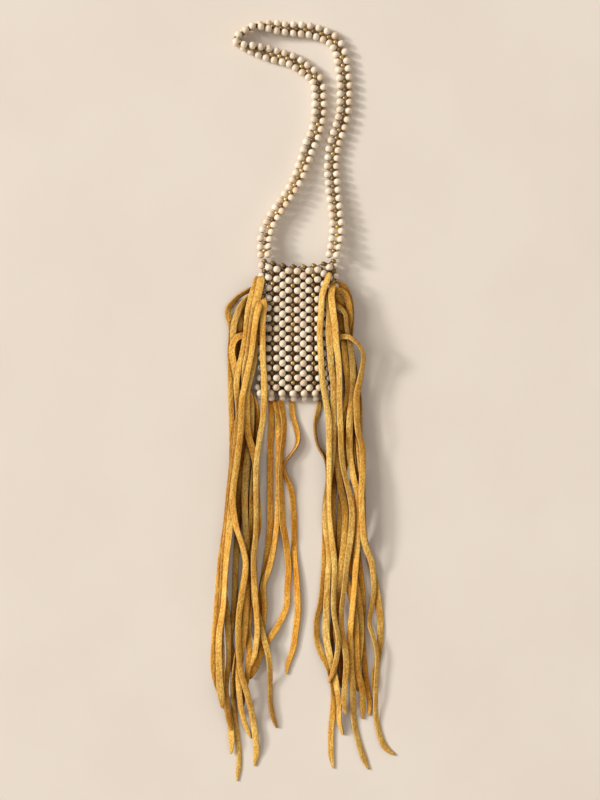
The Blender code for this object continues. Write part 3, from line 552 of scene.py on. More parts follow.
def smooth_line(points, step):
    """A smooth curve through points, about one point for each step of its length.

    Between b and c, with a before them and d after them, it is half of
    2b + (c - a) t + (2a - 5b + 4c - d) t^2 + (3b - a - 3c + d) t^3.
    """
    points = np.array(points, dtype=float)
    ends = np.vstack([2 * points[0] - points[1], points, 2 * points[-1] - points[-2]])
    pieces = []
    for before, start, end, after in zip(ends, ends[1:], ends[2:], ends[3:]):
        count = max(int(np.linalg.norm((end - start)[:2]) / step), 2)
        t = np.linspace(0.0, 1.0, count, endpoint=False)[:, None]
        bend = (end - before) * t + (2 * before - 5 * start + 4 * end - after) * t**2
        pieces.append(start + (bend + (3 * start - before - 3 * end + after) * t**3) / 2)
    return np.vstack(pieces + [points[-1:]])


def distances(line):
    """How far along a line each of its points lies."""
    return np.concatenate([[0.0], np.cumsum(np.linalg.norm(np.diff(line, axis=0), axis=1))])


def read_line(line, places, axes=3):
    """The points of a line at some distances along its first axes."""
    along = distances(line[:, :axes])
    return np.column_stack([np.interp(places, along, values) for values in line.T])


def mouth_corner(column):
    """The middle of the unit that a strap end continues, and the lean of its two rails in degrees."""
    step = on_pouch(column + 0.5, RIM_ROW)[0] - on_pouch(column - 0.5, RIM_ROW)[0]
    return on_pouch(column, RIM_ROW)[0], math.degrees(math.atan2(abs(step[2]), abs(step[0])))


def strap_line():
    """The strap's middle line with its roll. Its height is that of a flat or tilted pair of rails."""
    left, left_lean = mouth_corner(0.5)
    right, right_lean = mouth_corner(FRONT - 0.5)
    middle = (left + right) / 2
    route = [(left[0], left[1] + STRAP_LEAD, left_lean)]
    route += [(middle[0] + x / 1000, middle[1] + y / 1000, roll) for x, y, roll in STRAP_ROUTE]
    route += [(right[0], right[1] + STRAP_LEAD, -right_lean)]
    line = smooth_line(route, 0.001)
    along = distances(line[:, :2])
    height = CREAM_RADIUS + STRAP_RAIL_SPACING / 2 * np.abs(np.sin(np.radians(line[:, 2])))
    for gone, corner, end in ((along, left, 0), (along[-1] - along, right, -1)):
        height = height + np.exp(-((gone / STRAP_FALL) ** 2)) * max(corner[2] - height[end], 0.0)
    return np.column_stack([line[:, :2], height, line[:, 2]])


# Along the strap, two rail beads side by side and one rung bead across it take turns
line = strap_line()
strap_length = distances(line[:, :3])[-1]
pairs = round(strap_length / STRAP_PAIR_PITCH) + 1
places = np.linspace(0.0, strap_length, 2 * pairs - 1)
spots = read_line(line, places)
near = 0.0015                # the strap's direction at a bead is that between two points so far from it
forward = read_line(line, places + near)[:, :3] - read_line(line, places - near)[:, :3]
forward /= np.linalg.norm(forward, axis=1)[:, None]
level = np.cross(forward, [0.0, 0.0, 1.0])
level /= np.linalg.norm(level, axis=1)[:, None]
upward = np.cross(level, forward)
roll = np.radians(spots[:, 3])[:, None]
across = level * np.cos(roll) + upward * np.sin(roll)
out = upward * np.cos(roll) - level * np.sin(roll)
spots = spots[:, :3]
rails = [spots[::2] + way * across[::2] * STRAP_RAIL_SPACING / 2 for way in (-1, 1)]
rail_beads = (np.vstack(rails), np.vstack([forward[::2]] * 2), np.vstack([out[::2]] * 2))
rung_beads = (spots[1::2], across[1::2], out[1::2])
# The strap's beads are painted a little darker as shade on their undersides, the brass ones more
bead_piece("strap_cream_beads", rail_beads, CREAM_RADIUS, STONE, "strap", 0.15)
bead_piece("strap_brass_beads", rung_beads, BRASS_RADIUS, BRASS, "strap", 0.3)
starts, bends, ends = [], [], []
for way, rail in zip((-1, 1), rails):
    rung = spots[1::2] + way * across[1::2] * HOLE_REACH * BRASS_RADIUS
    outer = spots[1::2] + way * across[1::2] * STRAP_RAIL_SPACING / 2
    for upright, step in ((rail[:-1], forward[:-1:2]), (rail[1:], -forward[2::2])):
        starts.append(upright + HOLE_REACH * CREAM_RADIUS * step)
        bends.append(outer * 0.5 + (upright + rung) * 0.25)
        ends.append(rung)
thread_piece("strap_threads", np.vstack(starts), np.vstack(bends), np.vstack(ends), ["strap"])


# The laces: suede strips about 5 mm wide, cut with slanting tips. They come out between the beads of the
# pouch's sides, from its front near them, and from under its bottom row. Each lies in long low humps on
# the floor, on the beads and on the laces laid before it, and leans a little to one side or the other.
LACE_WIDTH = 0.0050
LACE_THICKNESS = 0.0013
LACE_STEP = 0.0018           # between a lace's stations
LACE_BEND = 0.060            # the radius that a lace's humps are bent to
LACE_GAP = 0.0001            # between a lace and what it lies on
LACE_MARGIN = 0.0002         # what stands so near beside a lace is under it too
FLOOR_GAP = 0.0002
TIP_LENGTH = 0.012
TIP_WIDTH = 0.22             # the share of the width that is left at the end of a tip
TIP_SKEW = 0.0016            # how far to one side a tip may be cut
SIDE_EDGE = 36               # a lace that starts so far from the middle, in millimetres, is a side lace
SIDE_LACE_HEIGHT = 0.0065
SIDE_START = 0.004           # how far inside the beads a side lace starts
SIDE_CLEAR = 0.009           # where it is clear of them, along it
BOTTOM_START = 0.0028        # how far up under the bottom row a lace from the bottom seam starts
TUCK_LENGTH = 0.006          # the upper end of a front lace, which dips between the beads
TUCK_DEPTH = 0.0045
UPPER_SPREAD = 0.14          # how much wider a front lace is up there, falling to a third in a length
UPPER_LENGTH = 0.06

# Each lace from where it leaves the beads to its tip, in millimetres to the right and up from the middle of
# the bottom row. Of the laces that start alike, those listed first lie lowest.
LACE_ROUTES = {
    "left_1": [(-36, 72), (-45, 69), (-50, 67), (-53, 63), (-53, 53), (-54, 43), (-52, 28), (-50, 14),
        (-48, 1), (-49, -14), (-48, -39), (-50, -62), (-52, -86), (-53, -119), (-55, -149), (-56, -180),
        (-58, -200), (-60, -214), (-57, -233), (-57, -260), (-55, -286), (-52, -313), (-53, -338)],
    "left_2": [(-36, 93), (-41, 90), (-51, 85), (-59, 77), (-62, 71), (-60, 63), (-58, 56), (-59, 38),
        (-59, 19), (-59, -5), (-58, -32), (-58, -58), (-61, -86), (-64, -119), (-68, -149), (-71, -185),
        (-73, -214), (-74, -238), (-71, -253), (-63, -272), (-59, -289), (-58, -314)],
    "left_3": [(-36, 79), (-44, 76), (-48, 72), (-50, 64), (-51, 53), (-49, 43), (-47, 33), (-48, 19),
        (-46, 5), (-40, -14), (-38, -32), (-39, -58), (-41, -86), (-43, -107), (-43, -126), (-45, -149),
        (-47, -185), (-50, -209), (-54, -230), (-57, -249), (-58, -266)],
    "left_4": [(-36, 86), (-43, 83), (-49, 77), (-53, 69), (-56, 60), (-57, 48), (-57, 33), (-55, 19),
        (-52, 5), (-50, -6), (-55, -32), (-57, -58), (-59, -86), (-61, -119), (-65, -146), (-66, -166),
        (-63, -188), (-61, -213), (-61, -236), (-63, -254), (-62, -273), (-60, -293)],
    "left_5": [(-36, 50), (-47, 50), (-53, 49), (-57, 43), (-58, 35), (-56, 25), (-54, 14), (-52, 2),
        (-52, -12), (-54, -35), (-56, -58), (-59, -86), (-61, -110), (-63, -126), (-65, -149), (-67, -188),
        (-67, -210), (-66, -233), (-66, -249), (-67, -265)],
    "left_6": [(-36, 46), (-40, 41), (-43, 32), (-46, 21), (-44, 5), (-37, -11), (-35, -36), (-38, -62),
        (-40, -86), (-41, -119), (-41, -139), (-42, -180), (-44, -204), (-43, -225), (-45, -246),
        (-49, -265), (-50, -281)],
    "left_8": [(-35, 102), (-38, 91), (-42, 77), (-44, 63), (-45, 51), (-48, 35), (-52, 21), (-54, 8),
        (-53, -5), (-51, -32), (-54, -58), (-57, -86), (-60, -119), (-63, -149), (-65, -182), (-69, -210),
        (-69, -233), (-68, -254), (-65, -273)],
    "left_11": [(-32, 102), (-34, 90), (-37, 77), (-39, 67), (-41, 53), (-43, 37), (-46, 21), (-46, 6),
        (-42, -6), (-42, -32), (-45, -58), (-47, -86), (-46, -119), (-43, -149), (-45, -180), (-47, -206),
        (-50, -224), (-52, -246), (-50, -273), (-46, -289), (-42, -301)],
    "left_9": [(-32, 69), (-33, 62), (-36, 52), (-38, 43), (-39, 28), (-42, 14), (-45, 2), (-45, -14),
        (-44, -35), (-38, -58), (-36, -86), (-35, -115), (-39, -134), (-39, -149), (-38, -180),
        (-35, -194), (-30, -213), (-26, -229), (-25, -246), (-25, -266), (-23, -280), (-20, -292)],
    "left_10": [(-31, 83), (-30, 76), (-31, 63), (-31, 48), (-31, 33), (-30, 14), (-30, -5), (-31, -23),
        (-34, -40), (-37, -66), (-37, -92), (-37, -119), (-39, -149), (-37, -185), (-36, -206),
        (-38, -224), (-41, -237)],
    "left_7": [(-33, 80), (-35, 72), (-37, 63), (-39, 48), (-41, 33), (-44, 19), (-47, 5), (-49, -6),
        (-50, -32), (-53, -58), (-57, -91), (-54, -115), (-49, -131), (-46, -149), (-49, -172),
        (-52, -196), (-52, -220), (-50, -240), (-46, -254), (-42, -270), (-39, -289), (-37, -306),
        (-37, -325)],
    "middle_1": [(-24, -8), (-24, -18), (-24, -32), (-25, -45), (-25, -58), (-25, -72), (-25, -86),
        (-25, -100), (-25, -115), (-27, -134), (-29, -149), (-33, -171), (-34, -188), (-34, -204),
        (-36, -224), (-39, -238)],
    "middle_2": [(-20, -8), (-18, -20), (-18, -32), (-17, -45), (-18, -58), (-18, -72), (-18, -86),
        (-19, -112), (-22, -134), (-26, -152), (-31, -166), (-30, -182), (-31, -200), (-33, -217),
        (-36, -233), (-41, -249)],
    "middle_3": [(-6, -8), (-5, -20), (-1, -35), (-1, -44), (-6, -52), (-12, -60), (-12, -70), (-7, -82),
        (-5, -96), (-4, -119), (-4, -139), (-2, -159), (-1, -178), (-1, -192), (-3, -209), (-5, -222),
        (-10, -236), (-12, -245)],
    "middle_4": [(-16, -8), (-13, -23), (-13, -36), (-15, -51), (-16, -72), (-15, -92), (-14, -112),
        (-11, -130), (-9, -152), (-10, -172), (-10, -182), (-13, -192), (-20, -205), (-29, -218),
        (-36, -232), (-42, -249)],
    "right_1": [(36, 95), (39, 93), (42, 89), (45, 81), (46, 69), (45, 55), (43, 41), (42, 25), (42, 9),
        (46, -8), (47, -32), (50, -58), (51, -80), (49, -102), (50, -126), (53, -149), (56, -180),
        (55, -200), (56, -220), (58, -246), (61, -265), (63, -281)],
    "right_2": [(36, 84), (38, 76), (40, 63), (41, 48), (42, 33), (44, 19), (45, 4), (48, -14), (46, -36),
        (47, -58), (50, -78), (50, -99), (47, -120), (46, -146), (52, -180), (54, -206), (52, -228),
        (50, -244), (50, -260)],
    "right_3": [(36, 89), (38, 88), (41, 84), (43, 77), (44, 65), (42, 53), (45, 37), (48, 21), (50, 5),
        (52, -11), (52, -39), (54, -66), (55, -92), (56, -119), (60, -139), (66, -163), (70, -188),
        (71, -204), (70, -222), (66, -244), (65, -260)],
    "right_4": [(36, 69), (38, 61), (39, 48), (40, 33), (42, 16), (42, -1), (40, -14), (40, -39),
        (40, -62), (37, -86), (36, -112), (36, -134), (40, -156), (46, -180), (49, -197), (50, -220),
        (51, -240), (55, -257), (56, -284)],
    "right_5": [(36, 54), (39, 45), (40, 31), (42, 16), (43, 1), (40, -12), (35, -35), (34, -58),
        (36, -80), (40, -99), (40, -120), (38, -142), (35, -163), (34, -188), (32, -206), (35, -224),
        (37, -241), (36, -257)],
    "right_6": [(36, 76), (40, 69), (41, 57), (44, 43), (46, 28), (47, 12), (46, -5), (44, -26), (44, -52),
        (47, -72), (51, -88), (52, -112), (50, -139), (48, -166), (46, -188), (44, -213), (45, -236),
        (47, -260), (48, -285), (51, -300), (55, -313), (60, -328)],
    "right_7": [(36, 48), (42, 49), (47, 46), (53, 40), (56, 32), (55, 23), (53, 12), (50, -1), (50, -14),
        (51, -31), (55, -48), (55, -68), (54, -88), (55, -112), (57, -130), (63, -146), (65, -163),
        (64, -182), (61, -198), (65, -212), (68, -228), (67, -254), (67, -278), (70, -296), (75, -308),
        (83, -316)],
    "right_8": [(28, 93), (26, 81), (27, 68), (26, 53), (27, 38), (28, 23), (30, 9), (30, -5), (30, -32),
        (28, -58), (25, -86), (23, -112), (26, -139), (25, -166), (24, -188), (24, -212), (28, -232),
        (32, -249), (35, -268), (35, -284), (38, -298)],
    "right_9": [(26, -8), (27, -20), (30, -33), (32, -48), (32, -62), (31, -74), (30, -86), (30, -98),
        (30, -110), (32, -122), (33, -134), (35, -152), (33, -168), (32, -184), (29, -204), (28, -222),
        (29, -236), (31, -246)],
    "right_10": [(18, -8), (16, -18), (14, -28), (15, -40), (18, -49), (23, -56), (26, -72), (23, -99),
        (23, -126), (22, -152), (19, -181), (16, -193), (15, -206), (17, -220), (21, -229), (26, -238),
        (30, -254), (30, -273), (28, -293), (28, -313), (29, -327)],
    "right_11": [(30, 96), (28, 86), (29, 73), (31, 58), (32, 43), (34, 28), (35, 9), (35, -5), (36, -32),
        (37, -55), (40, -72), (44, -88), (46, -103), (45, -123), (42, -144), (39, -170), (37, -188),
        (37, -204), (39, -217), (41, -230), (40, -249), (39, -266), (40, -279)],
    "right_12": [(27, 105), (24, 96), (20, 85), (19, 69), (18, 53), (19, 33), (20, 14), (23, -5), (26, -23),
        (26, -46), (26, -72), (26, -99), (28, -123), (31, -149), (30, -180), (31, -194), (34, -212),
        (33, -226), (30, -240), (25, -251)],
}

# Where a lace is turned towards its edge: from and to, in millimetres along it, and the roll in degrees
LACE_ROLLS = {
    "left_2": (5, 38, -58), "left_4": (5, 24, -50), "left_3": (6, 20, -35), "right_1": (12, 40, -45),
    "right_7": (14, 55, -60), "middle_3": (35, 75, 78), "right_3": (12, 30, 25),
    "right_10": (20, 60, -75), "right_6": (6, 42, -55), "left_8": (0, 90, 12), "left_11": (0, 70, 10),
    "left_10": (0, 110, 8), "right_11": (0, 100, 14), "right_12": (0, 50, 20), "left_7": (0, 60, 16),
}
TURN_IN = 0.004              # the lengths in which it turns to that roll and back from it
TURN_OUT = 0.007

# How pale the laces of a group may be: painted light makes those on top paler, painted shade the lower ones
# darker
LACE_TONES_AND_LAYER_LIGHT = {"bottom": (0.1, 0.7), "side": (0.1, 0.8), "front": (0.5, 1.0)}

# The height map: how high the beads, and the laces laid so far, come in each cell of half a millimetre
CELL = 0.0005
MAP_SIZE = (0.220, 0.550)
MAP_LOW = POUCH_PLACE[:2] + [-0.110, -0.360]
HEIGHTS = np.zeros([round(side / CELL) for side in MAP_SIZE])

# Up this stretch the laces' own turning falls to a third, because they lie flatter on the pouch
POUCH_TURN = POUCH_PLACE[1] + np.array([-0.030, 0.020])

# Below this line a lace from the bottom seam is out from under the row's beads
UNDER_ROW = POUCH_PLACE[1] - 0.0090


def suede_finish():
    """Mustard suede: streaks along the lace, a speckled nap, paler cut edges, painted shade underneath and
    where hidden.
    """
    made, tree, shader = new_finish("mustard_suede_laces")
    coordinates = add_node(tree, "ShaderNodeTexCoord")
    place = coordinates.outputs["Object"]
    tone = point_value(tree, "tone")
    edge = point_value(tree, "edge")
    under = point_value(tree, "under")
    hidden = point_value(tree, "hidden")
    strip = coordinates.outputs["UV"]
    stretch = add_node(tree, "ShaderNodeMapping", Vector=strip, Scale=(800.0, 110.0, 1.0))
    streak = mottle(tree, stretch.outputs["Vector"], 1.0, 4.0, 0.32, 0.66)
    cloud = mottle(tree, place, 45.0, 3.0, 0.35, 0.62)
    flecks = add_node(tree, "ShaderNodeMapping", Vector=strip, Scale=(900.0, 480.0, 1.0))
    nap = mottle(tree, flecks.outputs["Vector"], 1.0, 2.0, 0.36, 0.62)
    fuzz = mottle(tree, place, 2400.0, 2.0, 0.3, 0.7)
    surface = ramp(
        tree,
        tone,
        [(0.0, (0.95, 0.50, 0.075)), (0.5, (1.0, 0.605, 0.13)), (1.0, (1.0, 0.70, 0.22))],
    )
    for mask, share, dark, light in (
        (cloud, 0.7, (0.80, 0.63, 0.38), (1.0, 1.0, 1.0)),
        (streak, 0.6, (0.70, 0.56, 0.34), (1.0, 1.0, 1.0)),
        (nap, 0.65, (0.74, 0.61, 0.38), (1.12, 1.17, 1.25)),
    ):
        surface = mix(tree, "MULTIPLY", share, surface, mix(tree, "MIX", mask, dark, light))
    surface = mix(tree, "MIX", edge, surface, mix(tree, "MIX", 0.35, surface, (0.92, 0.68, 0.30)))
    # Painted shade: the underside, the lower halves of the cut sides, and where laces and beads round a
    # point hide its sky
    for mask, shade in ((under, (0.30, 0.18, 0.06)), (hidden, (0.34, 0.21, 0.07))):
        surface = mix(tree, "MIX", mask, surface, mix(tree, "MULTIPLY", 1.0, surface, shade))
    tree.links.new(surface, shader.inputs["Base Color"])
    height = weighed(tree, streak, 0.6, nap)
    coarse = add_node(tree, "ShaderNodeBump", Strength=0.7, Distance=0.0004, Height=height)
    fine = add_node(tree, "ShaderNodeBump", Strength=0.4, Distance=0.00012, Height=fuzz)
    tree.links.new(coarse.outputs["Normal"], fine.inputs["Normal"])
    tree.links.new(fine.outputs["Normal"], shader.inputs["Normal"])
    shader.inputs["Roughness"].default_value = 0.92
    shader.inputs["Specular IOR Level"].default_value = 0.15
    shader.inputs["Sheen Weight"].default_value = 0.2
    shader.inputs["Sheen Roughness"].default_value = 0.4
    shader.inputs["Sheen Tint"].default_value = (1.0, 0.88, 0.62, 1.0)
    return made


SUEDE = suede_finish()


def map_cells(points):
    """The cells of the height map under some points, those beyond its edges at its border."""
    index = ((points[..., :2] - MAP_LOW) / CELL).astype(int)
    return np.clip(index[..., 0], 0, HEIGHTS.shape[0] - 1), np.clip(index[..., 1], 0, HEIGHTS.shape[1] - 1)


def raise_map(points):
    """Lift the height map to some points."""
    np.maximum.at(HEIGHTS, map_cells(points), points[..., 2])


def spread(values):
    """A map with each cell as high as its highest neighbour."""
    wide = values.copy()
    wide[1:] = np.maximum(wide[1:], values[:-1])
    wide[:-1] = np.maximum(wide[:-1], values[1:])
    tall = wide.copy()
    tall[:, 1:] = np.maximum(tall[:, 1:], wide[:, :-1])
    tall[:, :-1] = np.maximum(tall[:, :-1], wide[:, 1:])
    return tall


# The map starts with the beads' tops, each a dome as high as the root of one less the distance squared
offsets = np.stack(np.meshgrid(np.linspace(-1, 1, 19), np.linspace(-1, 1, 19)), axis=-1).reshape(-1, 2)
offsets = offsets[np.hypot(*offsets.T) <= 1.0]
domes = np.column_stack([offsets, np.sqrt(1.0 - (offsets**2).sum(axis=1))])
bead_centres = np.array([centre for centre, _ in BEADS])
bead_radii = np.array([radius for _, radius in BEADS])[:, None, None]
bead_tops = domes[None] * bead_radii + bead_centres[:, None]
raise_map(bead_tops[(bead_tops[..., 1] - MAP_LOW[1]) / CELL < HEIGHTS.shape[1]])


def smooth(values, places, width):
    """Values averaged over neighbours within about a width along a line."""
    step = places[1] - places[0]
    reach = max(int(2.5 * width / step), 1)
    kernel = np.exp(-0.5 * (np.arange(-reach, reach + 1) * step / width) ** 2)
    padded = np.pad(values, reach, mode="edge")
    return np.convolve(padded, kernel / kernel.sum(), mode="valid")


def wander(places, spacing, amount):
    """A slow random wave along a line, with about one turn for each spacing."""
    knots = np.arange(-spacing, places[-1] + 2 * spacing, spacing)
    return smooth(np.interp(places, knots, random.normal(0.0, amount, len(knots))), places, spacing / 3)


def lace_shape(name, route, start):
    """A lace's stations along it, and its middle line, across direction, width and roll at each.

    Width and roll wander slowly, and a listed roll is blended in and out by an S curve each.
    """
    points = np.array(route) / 1000
    if start == "side":
        row = (points[0, 1] - BOTTOM_ROW_DROP - MOUTH_SAG / 2) / ROW_PITCH
        points[0, 0] = np.sign(points[0, 0]) * tube_section(row)[3]
        points = np.vstack([points[0] - [np.sign(points[0, 0]) * SIDE_START, 0.0], points])
    if start == "bottom":
        points = np.vstack([points[0] + [0.0, BOTTOM_START], points])
    dense = smooth_line(points + POUCH_PLACE[:2], 0.0008)
    length = distances(dense)[-1]
    places = np.linspace(0.0, length, round(length / LACE_STEP) + 1)
    middle = read_line(dense, places, 2)
    middle = np.column_stack([smooth(values, places, 0.0025) for values in middle.T])
    forward = np.gradient(middle, axis=0)
    forward /= np.linalg.norm(forward, axis=1)[:, None]
    across = np.column_stack([-forward[:, 1], forward[:, 0]])
    width = LACE_WIDTH * random.uniform(0.98, 1.16) * (1.0 + wander(places, 0.03, 0.09))
    if start == "front":
        width = width * (1.0 + UPPER_SPREAD * np.exp(-places / UPPER_LENGTH))
    roll = np.radians(wander(places, 0.055, 24.0)) * np.interp(middle[:, 1], POUCH_TURN, (1.0, 0.3))
    if name in LACE_ROLLS:
        low, high, turned = LACE_ROLLS[name]
        begun = 1 / (1 + np.exp(-(places - low / 1000) / TURN_IN))
        inside = begun / (1 + np.exp((places - high / 1000) / TURN_OUT))
        roll = roll * (1 - inside) + math.radians(turned) * inside
    return places, middle, across, width, roll


def lay_lace(places, middle, across, width, roll, start):
    """The lace's lowest height along it: what lies under it, bridged in humps as a strip bends.

    A hump falls away from each high place by the square of the distance from it over twice the bend.
    """
    reach = (width * np.abs(np.cos(roll)) + LACE_THICKNESS * np.abs(np.sin(roll))) / 2 + LACE_MARGIN
    shares = np.linspace(-1.0, 1.0, 13)
    points = middle[:, None] + across[:, None] * (reach[:, None] * shares)[..., None]
    under = spread(HEIGHTS)[map_cells(points)].max(axis=1)
    needed = np.where(under > 0.0, under + LACE_GAP, 0.0)
    if start == "bottom":
        needed[middle[:, 1] > UNDER_ROW] = 0.0
    if start == "side":
        needed[places < SIDE_CLEAR] = 0.0
        needed[0] = SIDE_LACE_HEIGHT
    fall = (places[:, None] - places[None]) ** 2 / (2 * LACE_BEND)
    hump = (needed[None] - fall).max(axis=1)
    return np.maximum(smooth(hump, places, 0.003), needed)


# A lace's section from its right edge round its top: a flat strip with cut sides and worn corners
SECTION_X = np.array([1.0, 1.0, 0.92, 0.78, 0.27, -0.27, -0.78, -0.92, -1.0, -1.0, -0.92, -0.3, 0.3, 0.92])
SECTION_Z = np.array([-0.5, 0.5, 0.92, 1.0, 1.0, 1.0, 1.0, 0.92, 0.5, -0.5, -1.0, -1.0, -1.0, -1.0])
LACE_AROUND = len(SECTION_X)
LACE_RAGGEDNESS = 0.00007    # how far a lace's cut sides stray from their line
SECTION_STEP = 0.0009        # from point to point round the section, for the streaks and the nap


def lace_mesh(places, middle, across, width, roll, start):
    """A laid lace's middle line, the ways from it to its side and its top, and its points.

    At each station the section is scaled to the half width and the half thickness, cupped by the square
    of the distance from its middle, frayed along its cut sides, turned by the roll and lifted.
    """
    low = lay_lace(places, middle, across, width, roll, start)
    tip = np.clip((places[-1] - places) / TIP_LENGTH, 0.0, 1.0)
    half = width / 2 * (TIP_WIDTH + (1.0 - TIP_WIDTH) * tip**0.7)
    thick = LACE_THICKNESS / 2
    height = smooth(low, places, 0.002) + half * np.abs(np.sin(roll)) + thick * np.abs(np.cos(roll))
    if start == "side":
        height[places < SIDE_START] = height[places >= SIDE_START][0]
    if start == "front":
        tucked = np.clip(1.0 - places / TUCK_LENGTH, 0.0, 1.0)
        height = height - TUCK_DEPTH * tucked**1.5
        half = half * (1.0 - 0.45 * tucked**2)
    skew = TIP_SKEW * random.uniform(-1.0, 1.0) * (1.0 - tip)
    line = np.column_stack([middle + across * skew[:, None], height])
    flat = np.column_stack([across, np.zeros(len(places))])
    upright = np.array([0.0, 0.0, 1.0])
    side = flat * np.cos(roll)[:, None] + upright * np.sin(roll)[:, None]
    up = upright * np.cos(roll)[:, None] - flat * np.sin(roll)[:, None]
    cup = 0.20 * SECTION_X**2 * half[:, None] * random.uniform(-1.0, 0.6)
    x = SECTION_X * half[:, None]
    z = SECTION_Z * thick + cup
    ragged = random.normal(0.0, LACE_RAGGEDNESS, x.shape)
    verts = line[:, None] + side[:, None] * (x + ragged)[..., None] + up[:, None] * z[..., None]
    verts[..., 2] = np.maximum(verts[..., 2], FLOOR_GAP)
    return line, side * half[:, None], up * thick, verts.reshape(-1, 3)


def mark_lace(piece, places, start):
    """A lace's tone, which wanders along it, its underside and its cut edges, and its UV map in metres."""
    # Each lace's own random tone, within its group's range of painted light and shade
    tone = random.uniform(*LACE_TONES_AND_LAYER_LIGHT[start]) + wander(places, 0.05, 0.22)
    give_values(piece, "tone", np.repeat(tone, LACE_AROUND))
    # The underside and the lower halves of the cut sides, for the painted shade
    give_values(piece, "under", np.tile(np.clip(0.5 - SECTION_Z, 0.0, 1.0), len(places)))
    give_values(piece, "edge", np.tile(np.clip((np.abs(SECTION_X) - 0.8) / 0.12, 0.0, 1.0), len(places)))
    layer = piece.data.uv_layers.new(name="UVMap")
    corners = np.zeros(len(piece.data.loops), dtype=np.int32)
    piece.data.loops.foreach_get("vertex_index", corners)
    round_place = np.tile(np.arange(LACE_AROUND) * SECTION_STEP, len(places)) + random.uniform(0.0, 1.0)
    unwrapped = np.column_stack([round_place, np.repeat(places, LACE_AROUND)])
    layer.data.foreach_set("uv", unwrapped[corners].astype(np.float32).ravel())


def add_lace(name, route, start):
    """One lace as its own piece, laid, and standing for its strip of the frame."""
    places, middle, across, width, roll = lace_shape(name, route, start)
    line, to_side, to_top, verts = lace_mesh(places, middle, across, width, roll, start)
    spot = np.arange(LACE_AROUND // 2 - 1)
    cap = np.stack([spot, spot + 1, LACE_AROUND - 2 - spot, LACE_AROUND - 1 - spot], axis=1)
    last = (len(places) - 1) * LACE_AROUND
    quads = np.vstack([ring_quads(len(places), LACE_AROUND), cap[:, ::-1], cap + last])
    piece = new_piece(f"lace_{name}_suede", verts, quads, SUEDE, [f"lace_{name}"])
    mark_lace(piece, places, start)
    fine = np.linspace(0.0, len(places) - 1, 5 * len(places))
    ways = (*(line + to_top).T, *to_side.T)
    spots = np.column_stack([np.interp(fine, np.arange(len(places)), values) for values in ways])
    shares = np.linspace(-1.0, 1.0, 17)[None, :, None]
    raise_map(spots[:, None, :3] + spots[:, None, 3:] * shares)
    return piece, verts


SKY_REACHES = (0.0018, 0.0032, 0.0055)
SKY_BEARINGS = np.linspace(0.0, 2.0 * math.pi, 12, endpoint=False)


def give_hidden(piece, points):
    """How much of each point's sky the laces and beads round it hide, where the suede is painted darker as
    shade.

    Over some bearings and distances, the mean of the height that stands above the point over the
    distance, each kept between nothing and one. What is a little hidden still counts as open.
    """
    hidden = np.zeros(len(points))
    for reach in SKY_REACHES:
        for turn in SKY_BEARINGS:
            away = [reach * math.cos(turn), reach * math.sin(turn), 0.0]
            above = HEIGHTS[map_cells(points + away)] - points[:, 2] - 0.0003
            hidden += np.clip(above / reach, 0.0, 1.0)
    hidden /= len(SKY_REACHES) * len(SKY_BEARINGS)
    give_values(piece, "hidden", np.clip(hidden * 2.2 - 0.25, 0.0, 1.0))


def lace_start(route):
    """Where a lace comes out: under the bottom row, at a side of the pouch, or on its front."""
    x, y = route[0]
    return "bottom" if y < 0 else "side" if abs(x) >= SIDE_EDGE else "front"


# The laces from the bottom lie lowest, then those from the sides, and those from the front lie on them
laid = []
for start in ("bottom", "side", "front"):
    for name, route in LACE_ROUTES.items():
        if lace_start(route) == start:
            laid.append(add_lace(name, route, start))
for piece, points in laid:
    give_hidden(piece, points)


# The floor: a plain pale surface with faint clouds, under a broad soft light from the left and a smaller
# one just below it, which give the long soft shadows to the right, and a weak fill from the right.
PIXEL = 0.00087              # what a pixel of the photograph is on the floor
PHOTO_SIZE = (600, 800)
PHOTO_MIDDLE = POUCH_PLACE + [0.001, -0.0058, 0.0]
FLOOR_REACH = 12.0
LAMP_DISTANCE = 20.0         # far enough off for the floor to be lit alike in every view


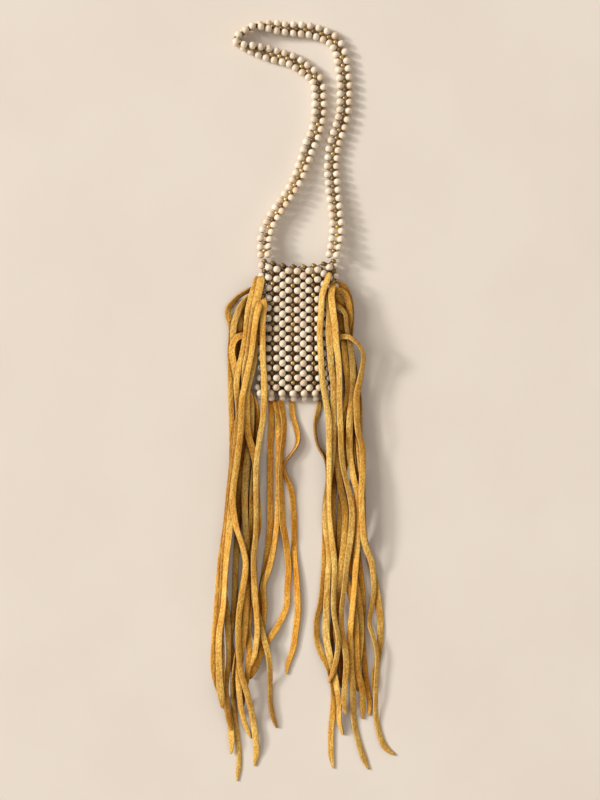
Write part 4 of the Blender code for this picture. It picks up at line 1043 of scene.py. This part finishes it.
def add_floor():
    """A flat square of pale surface under the bag."""
    made, tree, shader = new_finish("pale_floor")
    place = add_node(tree, "ShaderNodeTexCoord").outputs["Object"]
    cloud = mottle(tree, place, 9.0, 3.0, 0.3, 0.7)
    pale = mix(tree, "MIX", cloud, (0.850, 0.788, 0.718), (0.880, 0.822, 0.755))
    tree.links.new(pale, shader.inputs["Base Color"])
    shader.inputs["Roughness"].default_value = 0.9
    shader.inputs["Specular IOR Level"].default_value = 0.1
    mesh = bpy.data.meshes.new("floor")
    corners = [(x * FLOOR_REACH, y * FLOOR_REACH, 0) for x, y in ((-1, -1), (1, -1), (1, 1), (-1, 1))]
    mesh.from_pydata(corners, [], [(0, 1, 2, 3)])
    mesh.materials.append(made)
    floor = bpy.data.objects.new("floor", mesh)
    bpy.context.collection.objects.link(floor)


def add_light(name, bearing, elevation, size, power, colour):
    """A square soft light that faces the bag from a bearing and an elevation."""
    light = bpy.data.lights.new(name, "AREA")
    light.size = size
    light.energy = power
    light.color = colour
    lamp = bpy.data.objects.new(name, light)
    bpy.context.collection.objects.link(lamp)
    turn, rise = math.radians(bearing), math.radians(elevation)
    away = np.array([math.cos(turn) * math.cos(rise), math.sin(turn) * math.cos(rise), math.sin(rise)])
    lamp.location = PHOTO_MIDDLE + LAMP_DISTANCE * away
    lamp.rotation_euler = (math.pi / 2 - rise, 0.0, turn + math.pi / 2)


add_floor()
add_light("window", bearing=162.0, elevation=32.0, size=9.3, power=2430.0, colour=(1.0, 0.96, 0.91))
add_light("low_lamp", bearing=162.0, elevation=24.0, size=2.3, power=1920.0, colour=(1.0, 0.95, 0.89))
add_light("fill", bearing=-20.0, elevation=60.0, size=16.0, power=300.0, colour=(1.0, 0.92, 0.84))
world = bpy.data.worlds.new("studio")
world.use_nodes = True
background = world.node_tree.nodes["Background"]
background.inputs["Color"].default_value = (1.0, 0.89, 0.77, 1.0)
background.inputs["Strength"].default_value = 0.38
bpy.context.scene.world = world

# The camera looks straight down on the bag from 1.5 m up.
CAMERA_HEIGHT = 1.5
lens = bpy.data.cameras.new("camera")
lens.sensor_fit = "VERTICAL"
lens.sensor_height = 24.0
lens.lens = lens.sensor_height * CAMERA_HEIGHT / (PHOTO_SIZE[1] * PIXEL)
camera = bpy.data.objects.new("camera", lens)
bpy.context.collection.objects.link(camera)
camera.location = (PHOTO_MIDDLE[0], PHOTO_MIDDLE[1], CAMERA_HEIGHT)
bpy.context.scene.camera = camera
bpy.context.scene.view_settings.view_transform = "Standard"
